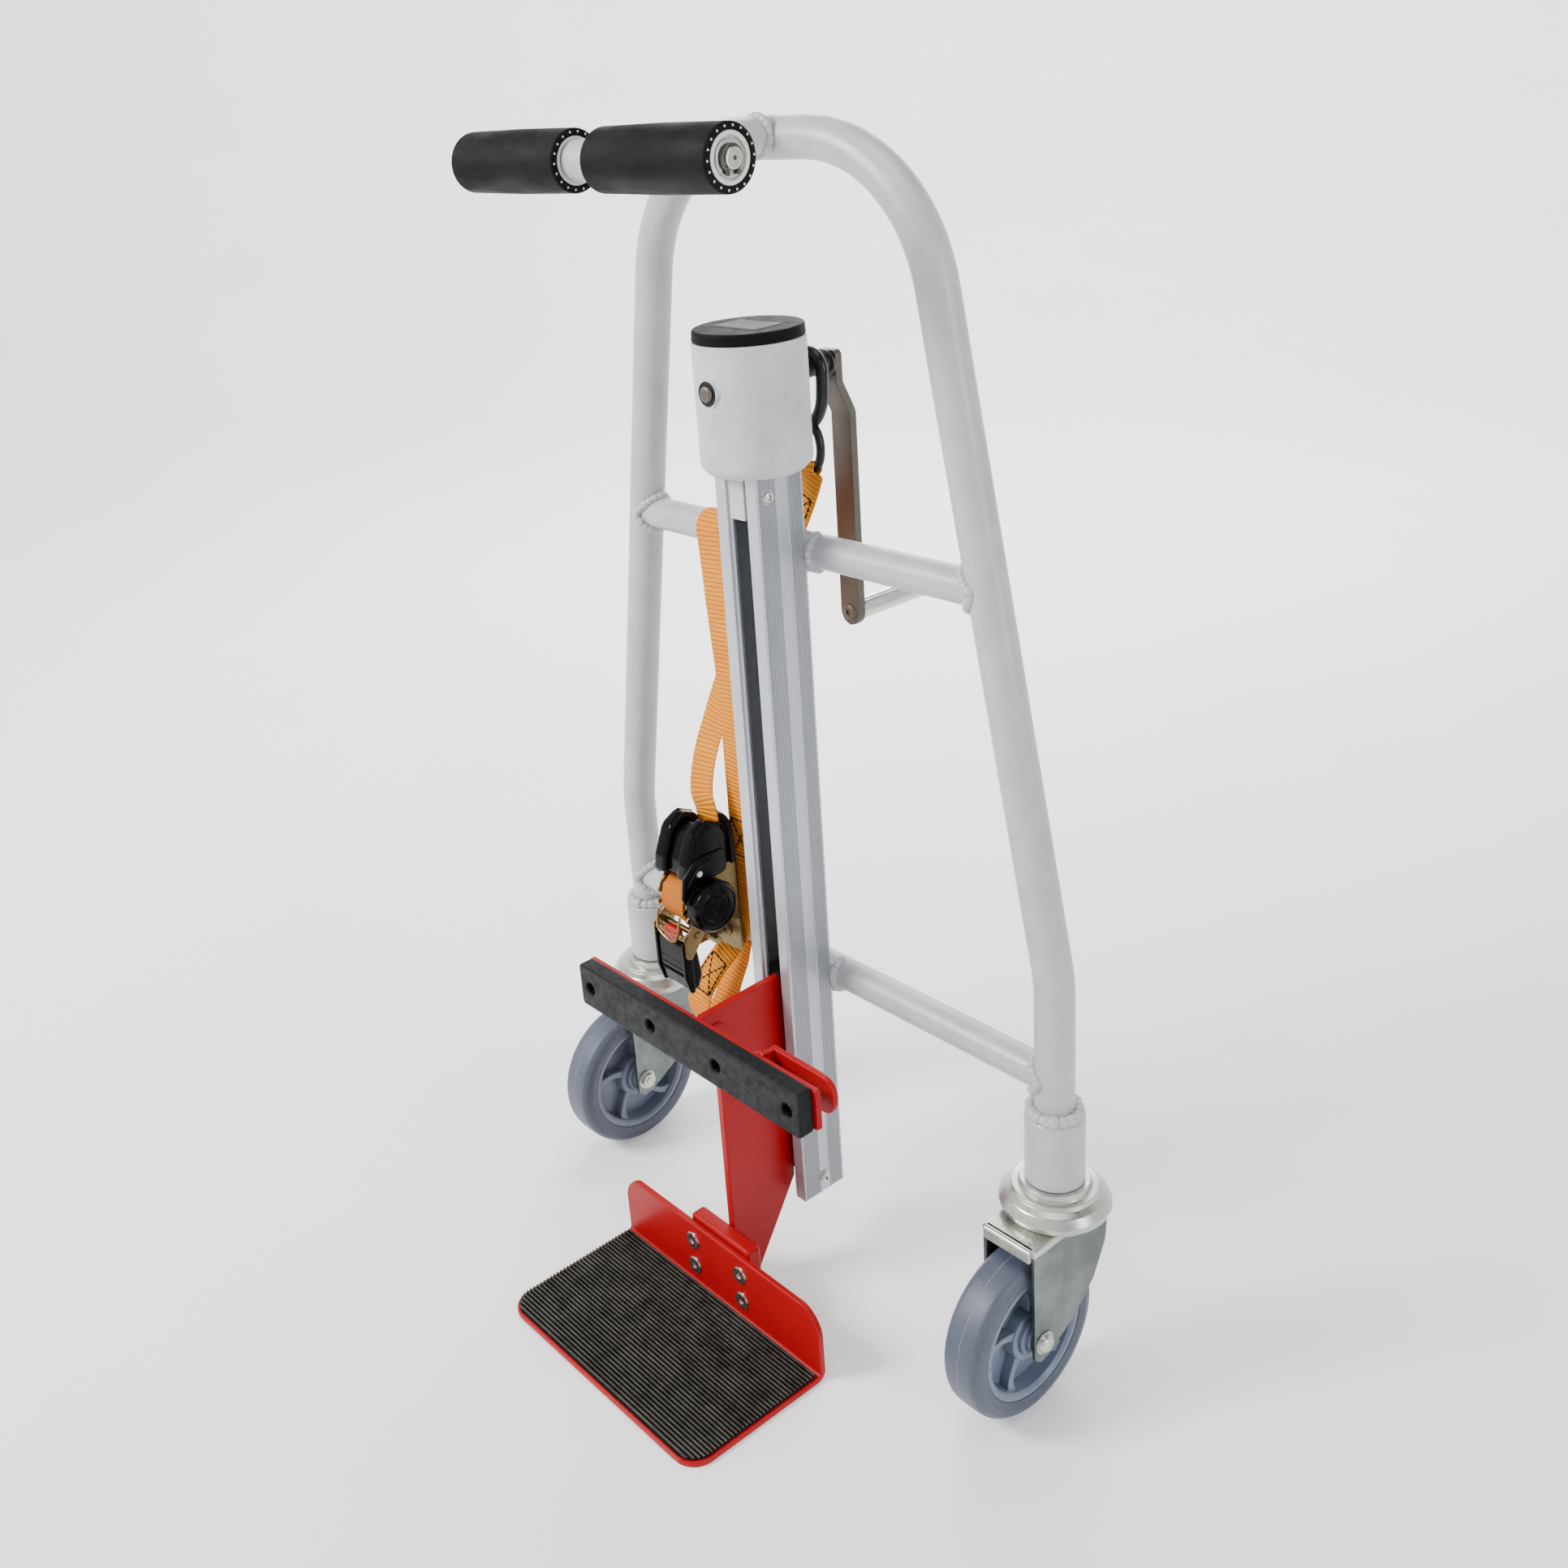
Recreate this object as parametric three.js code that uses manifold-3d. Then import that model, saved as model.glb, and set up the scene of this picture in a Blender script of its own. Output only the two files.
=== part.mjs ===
// Crank-operated furniture lifting dolly: a bent tube frame on two swivel casters, with a slotted
// lift column, a screw-driven carriage with a foot plate, two roller handles and a ratchet strap.
// Millimetres, +Z up, the floor at z = 0. +Y is the operator's side and -Y the load's side.
import * as THREE from 'three';
import { mergeVertices } from 'three/addons/utils/BufferGeometryUtils.js';
import Module from 'manifold-3d';

const wasm = await Module();
wasm.setup();

// ---- driving dimensions -------------------------------------------------------------------
const GAP = 0.3; // space kept between pieces that touch
const FINE = 28;
const MEDIUM = 16;
const COARSE = 12;

const wheel = { radius: 80, width: 40, trail: 50, rimRadius: 61, bore: 5.4 };
const caster = { x: 274, domeTop: 212, domeRadius: 48, plateTop: 182, forkInner: 24, forkOuter: 28 };
const tube = { radius: 16.85, cross: 15, bendZ: 404, bendRadius: 160 };
const hoop = { shoulderX: 168, shoulderZ: 956, apexZ: 1065 };
const socket = { radius: 25.5, bore: 10.6, bottom: 212.3, top: 280 };
const crossZ = { upper: 727, lower: 310 };

const column = { half: 26.4, back: -15.3, front: -67.6, wall: 4, bottom: 79, top: 805 };
const slot = { half: 5.3, recessHalf: 12.3, recessFloor: -64.8, wallBack: -61.8, top: 767 };
const screw = { radius: 8, y: -41.2, bottom: 112.5, top: 845 };
const head = { radius: 47.3, inner: 42, bottom: 805.3, floor: 8, top: 915 };
const crank = { z: 877.5, shaft: 8, length: 228, width: 24, thick: 8, innerY: 44, jog: 14 };
const grip = { radius: 10, pin: 6, length: 91 };

const bumper = { half: 158, bottom: 283, top: 322.5, back: -157.7, thick: 6, rubber: 16 };
const foot = { half: 141, back: -158, thick: 6, flangeTop: 75, front: -319, corner: 24 };
const push = { radius: 15, z: 1068, frontY: -182, overhang: 14 };
const roller = { radius: 24, inner: 17, outer: 155.5, axle: 7.5 };
const ratchet = { x: -108, half: 20, y: -70, z: 372 };
const strap = { half: 16, thick: 1.8 };

// ---- colours ------------------------------------------------------------------------------
const paint = { name: 'frame_paint', color: 0xb9bdc4, roughness: 0.5, metalness: 0.3 };
const anodised = { name: 'anodised', color: 0xaeb1b5, roughness: 0.4, metalness: 0.7 };
const zinc = { name: 'zinc', color: 0xc3c9c8, roughness: 0.35, metalness: 0.9 };
const steel = { name: 'steel', color: 0x9f9a90, roughness: 0.35, metalness: 0.9 };
const gold = { name: 'yellow_zinc', color: 0xcbb98a, roughness: 0.4, metalness: 0.8 };
const red = { name: 'red_paint', color: 0xb01f2a, roughness: 0.3, metalness: 0.1 };
const black = { name: 'black_plastic', color: 0x17181a, roughness: 0.45, metalness: 0 };
const rubber = { name: 'black_rubber', color: 0x1c1d1f, roughness: 0.8, metalness: 0 };
const tyreGrey = { name: 'tyre', color: 0x66707f, roughness: 0.7, metalness: 0 };
const rimGrey = { name: 'rim', color: 0x8794ab, roughness: 0.5, metalness: 0 };
const webbing = { name: 'webbing', color: 0xf08a1c, roughness: 0.85, metalness: 0 };

// ---- helpers ------------------------------------------------------------------------------
const group = new THREE.Group();

// A geometry as one welded shell with its faces pointing out.
function weld(geometry) {
  const plain = geometry.index ? geometry.toNonIndexed() : geometry.clone();
  plain.deleteAttribute('normal');
  plain.deleteAttribute('uv');
  const merged = mergeVertices(plain, 1e-4);
  const corners = merged.index.array;
  const place = merged.attributes.position;
  const kept = [];
  let volume = 0;
  for (let i = 0; i < corners.length; i += 3) {
    const [a, b, c] = [corners[i], corners[i + 1], corners[i + 2]];
    if (a === b || b === c || c === a) continue;
    kept.push(a, b, c);
    const [p, q, r] = [a, b, c].map((k) => new THREE.Vector3().fromBufferAttribute(place, k));
    volume += p.dot(q.cross(r));
  }
  if (volume < 0) kept.reverse();
  merged.setIndex(kept);
  return merged;
}

function solid(geometry) {
  const shell = weld(geometry);
  const vertProperties = Float32Array.from(shell.attributes.position.array);
  const triVerts = Uint32Array.from(shell.index.array);
  return new wasm.Manifold(new wasm.Mesh({ numProp: 3, vertProperties, triVerts }));
}

function geometryOf(body) {
  const mesh = body.getMesh();
  const geometry = new THREE.BufferGeometry();
  geometry.setAttribute('position', new THREE.BufferAttribute(mesh.vertProperties, 3));
  geometry.setIndex(new THREE.BufferAttribute(mesh.triVerts, 1));
  return geometry;
}

function join(...parts) {
  return geometryOf(parts.map(solid).reduce((all, part) => all.add(part)));
}

function cut(part, ...tools) {
  return geometryOf(tools.map(solid).reduce((rest, tool) => rest.subtract(tool), solid(part)));
}

function common(a, b) {
  return geometryOf(solid(a).intersect(solid(b)));
}

function piece(name, geometry, finish) {
  const shell = weld(geometry);
  shell.computeVertexNormals();
  const mesh = new THREE.Mesh(shell, new THREE.MeshStandardMaterial(finish));
  mesh.name = name;
  group.add(mesh);
}

function box(x0, x1, y0, y1, z0, z1) {
  const shape = new THREE.BoxGeometry(x1 - x0, y1 - y0, z1 - z0);
  return shape.translate((x0 + x1) / 2, (y0 + y1) / 2, (z0 + z1) / 2);
}

// A round rod from one point to another.
function rod(from, to, radius, sides = MEDIUM) {
  const a = new THREE.Vector3(...from);
  const b = new THREE.Vector3(...to);
  const shape = new THREE.CylinderGeometry(radius, radius, a.distanceTo(b), sides);
  const turn = new THREE.Quaternion();
  turn.setFromUnitVectors(new THREE.Vector3(0, 1, 0), b.clone().sub(a).normalize());
  const middle = a.add(b).multiplyScalar(0.5);
  return shape.applyQuaternion(turn).translate(middle.x, middle.y, middle.z);
}

const outline = (points) => new THREE.Shape(points.map(([a, b]) => new THREE.Vector2(a, b)));

// Flat plates: an outline in one plane, given thickness along the third axis.
function plateXY(shape, z0, z1, curveSegments = 6) {
  const options = { depth: z1 - z0, bevelEnabled: false, curveSegments };
  return new THREE.ExtrudeGeometry(shape, options).translate(0, 0, z0);
}

function plateYZ(shape, x0, x1, curveSegments = 6) {
  const turn = new THREE.Matrix4().set(0, 0, 1, x0, 1, 0, 0, 0, 0, 1, 0, 0, 0, 0, 0, 1);
  return plateXY(shape, 0, x1 - x0, curveSegments).applyMatrix4(turn);
}

function plateXZ(shape, y0, y1, curveSegments = 6) {
  return plateXY(shape, 0, y1 - y0, curveSegments).rotateX(Math.PI / 2).translate(0, y1, 0);
}

// Turned pieces: a profile of [radius, height] points about an axis.
function turnedZ(profile, x, y, sides = MEDIUM) {
  const points = profile.map(([r, h]) => new THREE.Vector2(r, h));
  return new THREE.LatheGeometry(points, sides).rotateX(Math.PI / 2).translate(x, y, 0);
}

function turnedX(profile, x, y, z, sides = MEDIUM) {
  const points = profile.map(([r, h]) => new THREE.Vector2(r, h));
  return new THREE.LatheGeometry(points, sides).rotateZ(-Math.PI / 2).translate(x, y, z);
}

function turnedY(profile, x, y, z, sides = MEDIUM) {
  const points = profile.map(([r, h]) => new THREE.Vector2(r, h));
  return new THREE.LatheGeometry(points, sides).translate(x, y, z);
}

const ringProfile = (inner, outer, from, to) => [
  [inner, from], [outer, from], [outer, to], [inner, to], [inner, from],
];

function roundedRect(x0, x1, y0, y1, r) {
  const shape = new THREE.Shape();
  shape.moveTo(x0 + r, y0);
  shape.lineTo(x1 - r, y0);
  shape.absarc(x1 - r, y0 + r, r, -Math.PI / 2, 0);
  shape.lineTo(x1, y1 - r);
  shape.absarc(x1 - r, y1 - r, r, 0, Math.PI / 2);
  shape.lineTo(x0 + r, y1);
  shape.absarc(x0 + r, y1 - r, r, Math.PI / 2, Math.PI);
  shape.lineTo(x0, y0 + r);
  shape.absarc(x0 + r, y0 + r, r, Math.PI, Math.PI * 1.5);
  return shape;
}

// A round bar along a path of points.
function bar(points, radius, sides, steps) {
  const path = new THREE.CatmullRomCurve3(points, false, 'centripetal');
  const section = new THREE.Shape().absarc(0, 0, radius, 0, Math.PI * 2);
  const options = { extrudePath: path, steps, curveSegments: sides / 2, bevelEnabled: false };
  return new THREE.ExtrudeGeometry(section, options);
}

// Points of a circular arc in a plane, by angles in degrees.
function arc(cx, cy, radius, from, to, count) {
  const points = [];
  for (let i = 0; i <= count; i += 1) {
    const angle = THREE.MathUtils.degToRad(from + ((to - from) * i) / count);
    points.push([cx + radius * Math.cos(angle), cy + radius * Math.sin(angle)]);
  }
  return points;
}

// ---- bent tube frame ----------------------------------------------------------------------
const lean = Math.atan2(caster.x - hoop.shoulderX, hoop.shoulderZ - tube.bendZ);
const leanDeg = THREE.MathUtils.radToDeg(lean);

// Half of the frame's centre line in the XZ plane, on the side given by sign.
function legPoints(sign) {
  const tangent = tube.bendRadius * Math.tan(lean / 2);
  const cx = caster.x - tube.bendRadius;
  const bend = arc(cx, tube.bendZ - tangent, tube.bendRadius, 0, leanDeg, 4);
  const all = [[caster.x, socket.top + 1], [caster.x, 340], ...bend, [220, 0], [hoop.shoulderX, hoop.shoulderZ]];
  all[all.length - 2][1] = hoop.shoulderZ - (220 - hoop.shoulderX) / Math.tan(lean);
  return all.map(([x, z]) => new THREE.Vector3(sign * x, 0, z));
}

function archPoints() {
  const radius = (hoop.apexZ - hoop.shoulderZ) / (1 - Math.sin(lean));
  const cx = hoop.shoulderX - radius * Math.cos(lean);
  const cz = hoop.apexZ - radius;
  const start = arc(cx, cz, radius, leanDeg, leanDeg + 2, 1);
  const right = [...start, ...arc(cx, cz, radius, leanDeg + 10, 90, 7)];
  const left = right.map(([x, z]) => [-x, z]).reverse();
  return [...right, ...left].map(([x, z]) => new THREE.Vector3(x, 0, z));
}

function trimmed(points) {
  const last = points.length - 1;
  const away = points[last].clone().sub(points[last - 1]).setLength(1);
  return [...points.slice(0, last), points[last].clone().sub(away)];
}

const legs = { left: legPoints(1), right: legPoints(-1) };
for (const [side, points] of Object.entries(legs)) {
  piece(`leg_${side}`, bar(trimmed(points), tube.radius, 16, 14), paint);
}
piece('hoop_arch', bar(archPoints(), tube.radius, 16, 22), paint);

const clearLegs = Object.values(legs).map((points) => bar(points, tube.radius + GAP, 16, 14));
for (const [level, z] of Object.entries(crossZ)) {
  const reach = caster.x;
  const along = rod([-reach, 0, z], [reach, 0, z], tube.cross);
  const span = caster.x - (z > tube.bendZ ? (z - tube.bendZ) * Math.tan(lean) : 0);
  const between = box(-span, span, -40, 40, z - 40, z + 40);
  piece(`cross_tube_${level}`, cut(common(along, between), ...clearLegs), paint);
}

for (const [side, sign] of [['left', 1], ['right', -1]]) {
  const chamfer = 5;
  const profile = [
    [socket.bore, socket.bottom], [socket.radius, socket.bottom],
    [socket.radius, socket.top - chamfer], [socket.radius - chamfer, socket.top],
    [socket.bore, socket.top], [socket.bore, socket.bottom],
  ];
  piece(`caster_socket_${side}`, turnedZ(profile, sign * caster.x, 0, 24), paint);
}

// ---- push handle with its two rollers -----------------------------------------------------
const pushTube = rod([0, 0, push.z], [0, push.frontY - push.overhang, push.z], push.radius, 24);
const axleBore = rod([-40, push.frontY, push.z], [40, push.frontY, push.z], roller.axle + 0.4);
piece('push_tube', cut(pushTube, bar(archPoints(), tube.radius + GAP, 16, 22), axleBore), paint);
piece('push_collar', turnedY(ringProfile(push.radius + GAP, 20.5, -156, -135), 0, 0, push.z, 24), zinc);
const axleEnd = roller.outer + 4;
piece('roller_axle', rod([-axleEnd, push.frontY, push.z], [axleEnd, push.frontY, push.z], roller.axle), steel);
for (const [side, sign] of [['left', 1], ['right', -1]]) {
  const ends = [roller.inner, roller.outer].map((x) => sign * x).sort((a, b) => a - b);
  const profile = ringProfile(roller.axle + 0.4, roller.radius, ...ends);
  piece(`roller_${side}`, turnedX(profile, 0, push.frontY, push.z, 24), rubber);
}

// ---- lift column --------------------------------------------------------------------------
function columnSection() {
  const inner = column.half - column.wall;
  const half = [
    [slot.half, slot.wallBack], [slot.half, slot.recessFloor], [slot.recessHalf, slot.recessFloor],
    [slot.recessHalf, column.front], [column.half, column.front], [column.half, column.back],
  ];
  const inside = [[-inner, slot.wallBack], [-inner, column.back - column.wall]];
  const mirror = (points) => points.map(([x, y]) => [-x, y]).reverse();
  return outline([...half, ...mirror(half), ...inside, ...mirror(inside)]);
}
const boltY = { upper: -56, lower: screw.y };
const boltZ = { upper: 788, lower: 95 };
const boltHoles = Object.keys(boltZ).map((key) =>
  rod([-40, boltY[key], boltZ[key]], [40, boltY[key], boltZ[key]], 3.4, COARSE));
const columnBar = plateXY(columnSection(), column.bottom, column.top);
piece('lift_column', cut(columnBar, ...boltHoles), anodised);
for (const key of Object.keys(boltZ)) {
  const seat = column.half + GAP;
  const profile = [
    [0, -seat - 3.5], [4, -seat - 3.5], [5.5, -seat], [3, -seat], [3, seat], [5.5, seat], [4, seat + 3.5],
    [0, seat + 3.5],
  ];
  piece(`column_bolt_${key}`, turnedX(profile, 0, boltY[key], boltZ[key], COARSE), zinc);
}
piece('slot_insert', box(-4.9, 4.9, slot.recessFloor - 2, slot.wallBack, slot.top, column.top - 1), paint);
piece('screw_foot_bearing', box(-22, 22, -59.2, -19.7, 104, screw.bottom - GAP), steel);

// ---- gear head on the column --------------------------------------------------------------
const floorTop = head.bottom + head.floor;
const cup = turnedZ([
  [12, head.bottom], [head.radius - 6, head.bottom], [head.radius - 2, head.bottom + 2.5],
  [head.radius, head.bottom + 7], [head.radius, head.top], [head.inner, head.top],
  [head.inner, floorTop], [12, floorTop], [12, head.bottom],
], 0, screw.y, FINE);
const shaftBore = rod([0, screw.y, crank.z], [0, screw.y + 60, crank.z], crank.shaft + 0.4);
const screwBore = rod([0, screw.y, crank.z], [0, screw.y - 60, crank.z], 4.4);
piece('gear_head', cut(cup, shaftBore, screwBore), paint);
const capRim = head.radius - 0.8;
const capBase = head.top + GAP;
piece('gear_head_cap', turnedZ([
  [0, capBase], [capRim, capBase], [capRim, capBase + 7], [capRim - 3, capBase + 9.5], [0, capBase + 9.5],
], 0, screw.y, FINE), black);

// ---- lead screw with its bevel gear -------------------------------------------------------
piece('lead_screw', rod([0, screw.y, screw.bottom], [0, screw.y, screw.top], screw.radius), steel);
const bevelAt = (height) => crank.z - height - 0.5;
piece('bevel_gear', turnedZ([
  [0, screw.top + GAP], [bevelAt(854), screw.top + GAP], [bevelAt(854), 854], [bevelAt(863), 863], [0, 863],
], 0, screw.y, 24), steel);

// ---- hand crank ---------------------------------------------------------------------------
const shaftFront = screw.y - head.inner + 4;
const armTop = crank.innerY + crank.thick;
const shaft = rod([0, shaftFront, crank.z], [0, armTop + 3, crank.z], crank.shaft);
piece('crank_shaft', shaft, steel);
const pinionAt = (y) => screw.y - y - 0.5;
const pinion = turnedY([
  [crank.shaft + GAP, -73], [pinionAt(-65), -73], [pinionAt(-65), -65], [pinionAt(-56), -56],
  [crank.shaft + GAP, -56], [crank.shaft + GAP, -73],
], 0, 0, crank.z, 24);
piece('bevel_pinion', pinion, steel);
const faceY = screw.y - head.radius - GAP;
piece('shaft_end_screw', turnedY([
  [0, shaftFront - GAP], [4, shaftFront - GAP], [4, faceY], [7, faceY], [6, faceY - 4], [0, faceY - 4],
], 0, 0, crank.z, COARSE), zinc);

const gripZ = crank.z - crank.length;
function crankArm() {
  const [in0, in1] = [crank.innerY, crank.innerY + crank.thick];
  const [out0, out1] = [in0 + crank.jog, in1 + crank.jog];
  const end = crank.width / 2;
  const side = outline([
    [in0, crank.z + end], [in1, crank.z + end], [in1, crank.z - 17], [out1, crank.z - 45],
    [out1, gripZ - end], [out0, gripZ - end], [out0, crank.z - 43], [in0, crank.z - 15],
  ]);
  const face = outline([
    ...arc(0, crank.z, end, 0, 180, 8), ...arc(0, gripZ, end, 180, 360, 8),
  ]);
  const blank = common(plateYZ(side, -end, end), plateXZ(face, in0 - 5, out1 + 5));
  const shaftHole = rod([0, in0 - 9, crank.z], [0, in1 + 9, crank.z], crank.shaft + GAP);
  const pinHole = rod([0, out0 - 9, gripZ], [0, out1 + 9, gripZ], grip.pin + GAP);
  return cut(blank, shaftHole, pinHole);
}
piece('crank_arm', crankArm(), steel);
const armOuter = crank.innerY + crank.thick + crank.jog;
const gripStart = armOuter + 1;
const gripEnd = gripStart + grip.length;
piece('grip_pin', turnedY([
  [0, armOuter - crank.thick - 1], [grip.pin, armOuter - crank.thick - 1], [grip.pin, gripEnd + 0.5],
  [9, gripEnd + 0.5], [8, gripEnd + 3], [0, gripEnd + 3],
], 0, 0, gripZ, MEDIUM), steel);
piece('crank_grip', turnedY(ringProfile(grip.pin + 0.4, grip.radius, gripStart, gripEnd), 0, 0, gripZ), zinc);

// ---- lifting carriage ---------------------------------------------------------------------
const nutTop = 322;
const nutBlock = box(-21, 21, -59.5, -21, 125, nutTop);
const nutBore = rod([0, screw.y, 100], [0, screw.y, 350], screw.radius + 0.4);
piece('lift_nut', cut(nutBlock, nutBore), steel);
const webBack = -59.8;
const webFront = bumper.back + GAP;
piece('carriage_web', plateYZ(outline([
  [webBack, 96], [webBack, nutTop + 2], [webFront, bumper.top], [webFront, bumper.bottom],
  [-142, 240], [-142, 4], [-119, 4],
]), -4, 4), red);
const bumperFront = bumper.back - bumper.thick;
const bumperMid = (bumper.bottom + bumper.top) / 2;
const plateShape = roundedRect(-bumper.half, bumper.half, bumper.bottom, bumper.top, 14);
piece('bumper_plate', plateXZ(plateShape, bumperFront, bumper.back), red);
const rubberShape = roundedRect(-bumper.half + 4, bumper.half - 4, bumper.bottom - 2.5, bumper.top + 3, 2);
for (const x of [-138, -46, 46, 138]) {
  rubberShape.holes.push(new THREE.Path().absarc(x, bumperMid, 5.5, 0, Math.PI * 2));
}
const rubberBack = bumperFront - GAP;
piece('bumper_rubber', plateXZ(rubberShape, rubberBack - bumper.rubber, rubberBack, 5), rubber);

const blockBack = -142 - GAP;
piece('foot_block', box(-42, 42, foot.back + GAP, blockBack, 20, foot.flangeTop + 6), red);
function footPlate() {
  const tread = new THREE.Shape();
  const { half, front, corner } = foot;
  tread.moveTo(half, foot.back - 1);
  tread.lineTo(-half, foot.back - 1);
  tread.lineTo(-half, front + corner);
  tread.absarc(-half + corner, front + corner, corner, Math.PI, Math.PI * 1.5);
  tread.lineTo(half - corner, front);
  tread.absarc(half - corner, front + corner, corner, -Math.PI / 2, 0);
  const flange = new THREE.Shape();
  const round = 28;
  flange.moveTo(-half, 0);
  flange.lineTo(half, 0);
  flange.lineTo(half, foot.flangeTop - round);
  flange.absarc(half - round, foot.flangeTop - round, round, 0, Math.PI / 2);
  flange.lineTo(-half + round, foot.flangeTop);
  flange.absarc(-half + round, foot.flangeTop - round, round, Math.PI / 2, Math.PI);
  return join(plateXY(tread, 0, foot.thick), plateXZ(flange, foot.back - foot.thick, foot.back));
}
piece('foot_plate', footPlate(), red);
const matShape = roundedRect(-foot.half + 5, foot.half - 5, foot.front + 5, foot.back - foot.thick - 6, 18);
piece('foot_mat', plateXY(matShape, foot.thick + GAP, foot.thick + GAP + 3), rubber);
const screwSeat = foot.back - foot.thick - GAP;
for (const [side, x] of [['left', 34.5], ['right', -34.5]]) {
  for (const [level, z] of [['upper', 54], ['lower', 24]]) {
    const profile = [[0, screwSeat], [6, screwSeat], [5, screwSeat - 2.2], [0, screwSeat - 3.4]];
    piece(`flange_screw_${level}_${side}`, turnedY(profile, x, 0, z, COARSE), zinc);
  }
}

// ---- swivel casters -----------------------------------------------------------------------
function casterFork(x) {
  const inner = [x - caster.forkInner, x + caster.forkInner];
  const outer = [x - caster.forkOuter, x + caster.forkOuter];
  const axleY = -wheel.trail;
  const top = caster.plateTop;
  const cheek = outline([
    [38, top], [-62, top], [-62, 66], [-54, 60], [-44, 62], [-6, 84], [18, 108], [34, 140],
  ]);
  const left = plateYZ(cheek, inner[1], outer[1]);
  const right = plateYZ(cheek, outer[0], inner[0]);
  const bridge = box(outer[0], outer[1], -62, 38, top - 5, top);
  const lip = box(inner[0] - 2, inner[1] + 2, -65, -61, top - 12, top);
  const bore = rod([x - 40, axleY, wheel.radius], [x + 40, axleY, wheel.radius], 5.4, COARSE);
  return cut(join(left, bridge, right, lip), bore);
}
for (const [side, sign] of [['left', 1], ['right', -1]]) {
  const x = sign * caster.x;
  const base = caster.plateTop + GAP;
  piece(`caster_head_${side}`, turnedZ([
    [0, base], [42, base], [caster.domeRadius, base + 5], [caster.domeRadius, base + 10],
    [38, base + 20], [31, base + 23], [30, caster.domeTop], [10, caster.domeTop],
    [10, socket.top - 8], [0, socket.top - 8],
  ], x, 0, 20), zinc);
  piece(`caster_fork_${side}`, casterFork(x), zinc);
  const seat = caster.forkOuter + GAP;
  piece(`caster_axle_${side}`, turnedX([
    [0, -seat - 6], [8, -seat - 6], [8.5, -seat], [5, -seat], [5, seat], [8.5, seat], [8, seat + 6],
    [0, seat + 6],
  ], x, -wheel.trail, wheel.radius, COARSE), zinc);
  const r = wheel.rimRadius;
  piece(`wheel_rim_${side}`, turnedX([
    [wheel.bore, -22], [17, -22], [20, -9], [51, -9], [54, -18], [r, -18], [r, 18], [54, 18],
    [51, 9], [20, 9], [17, 22], [wheel.bore, 22], [wheel.bore, -22],
  ], x, -wheel.trail, wheel.radius, FINE), rimGrey);
  const w = wheel.width / 2;
  piece(`wheel_tyre_${side}`, turnedX([
    [r + GAP, -w + 1], [70, -w], [76, -w + 2], [79, -w + 6], [80, -w + 13],
    [80, w - 13], [79, w - 6], [76, w - 2], [70, w], [r + GAP, w - 1], [r + GAP, -w + 1],
  ], x, -wheel.trail, wheel.radius, FINE), tyreGrey);
}

// ---- ratchet with its retracting strap ----------------------------------------------------
const [rx, ry, rz] = [ratchet.x, ratchet.y, ratchet.z];
function ratchetBase() {
  const side = outline([[-28, 299], [-60, 299], [-76, 322], [-101, 345], [-101, 403], [-28, 403]]);
  const back = box(rx - ratchet.half, rx + ratchet.half, -30, -27.4, 299, 440);
  const cheeks = [-1, 1].map((sign) => {
    const edge = rx + sign * ratchet.half;
    return plateYZ(side, Math.min(edge, edge - sign * 2.4), Math.max(edge, edge - sign * 2.4));
  });
  const pin = rod([rx - ratchet.half, -44, 311], [rx + ratchet.half, -44, 311], 4, COARSE);
  const bore = rod([rx - 40, ry, rz], [rx + 40, ry, rz], 7.4, MEDIUM);
  return cut(join(back, ...cheeks, pin), bore);
}
piece('ratchet_base', ratchetBase(), gold);
const hood = outline([[-31, 404], [-31, 444], [-62, 459], [-94, 449], [-114, 414], [-108, 404]]);
piece('retractor_hood', plateYZ(hood, rx - 25, rx + 25), black);
const arborProfile = [
  [0, -31], [8.5, -31], [8.5, -28.2], [7, -28.2], [7, 24.9], [26, 24.9], [26, 38], [21, 41], [0, 41],
];
piece('ratchet_arbor', turnedX(arborProfile, rx, ry, rz, 24), black);
piece('strap_roll', turnedX(ringProfile(7.3, 25, -16.5, 16.5), rx, ry, rz, 24), webbing);
function ratchetLever() {
  const side = outline([
    ...arc(ry, rz, 14, 20, 160, 6), [-112, 350], [-112, 334], [-76, 334], [-60, 360],
  ]);
  const reach = [ratchet.half + GAP, ratchet.half + 2.3 + GAP];
  const cheeks = [-1, 1].map((sign) => {
    const ends = reach.map((d) => rx + sign * d).sort((a, b) => a - b);
    return plateYZ(side, ...ends);
  });
  const edge = ratchet.half + 2;
  const pin = rod([rx - edge, -107, 340], [rx + edge, -107, 340], 3.5, COARSE);
  const bore = rod([rx - 40, ry, rz], [rx + 40, ry, rz], 7.4, MEDIUM);
  return cut(join(...cheeks, pin), bore);
}
piece('ratchet_lever', ratchetLever(), gold);
const leverGrip = outline([
  [-114, 333.6], [-111, 300], [-99, 281], [-82, 284], [-78, 306], [-80, 318], [-95, 333.6],
]);
piece('ratchet_lever_grip', plateYZ(leverGrip, rx - 21, rx + 21), black);

// Webbing: a centre line in the YZ plane with a thickness, as wide as the strap along X.
function offsetLine(points, distance, isLoop) {
  const last = points.length - 1;
  return points.map((point, i) => {
    const before = points[i > 0 ? i - 1 : isLoop ? last : 0];
    const after = points[i < last ? i + 1 : isLoop ? 0 : last];
    const along = new THREE.Vector2(after[0] - before[0], after[1] - before[1]).normalize();
    return [point[0] - along.y * distance, point[1] + along.x * distance];
  });
}

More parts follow.
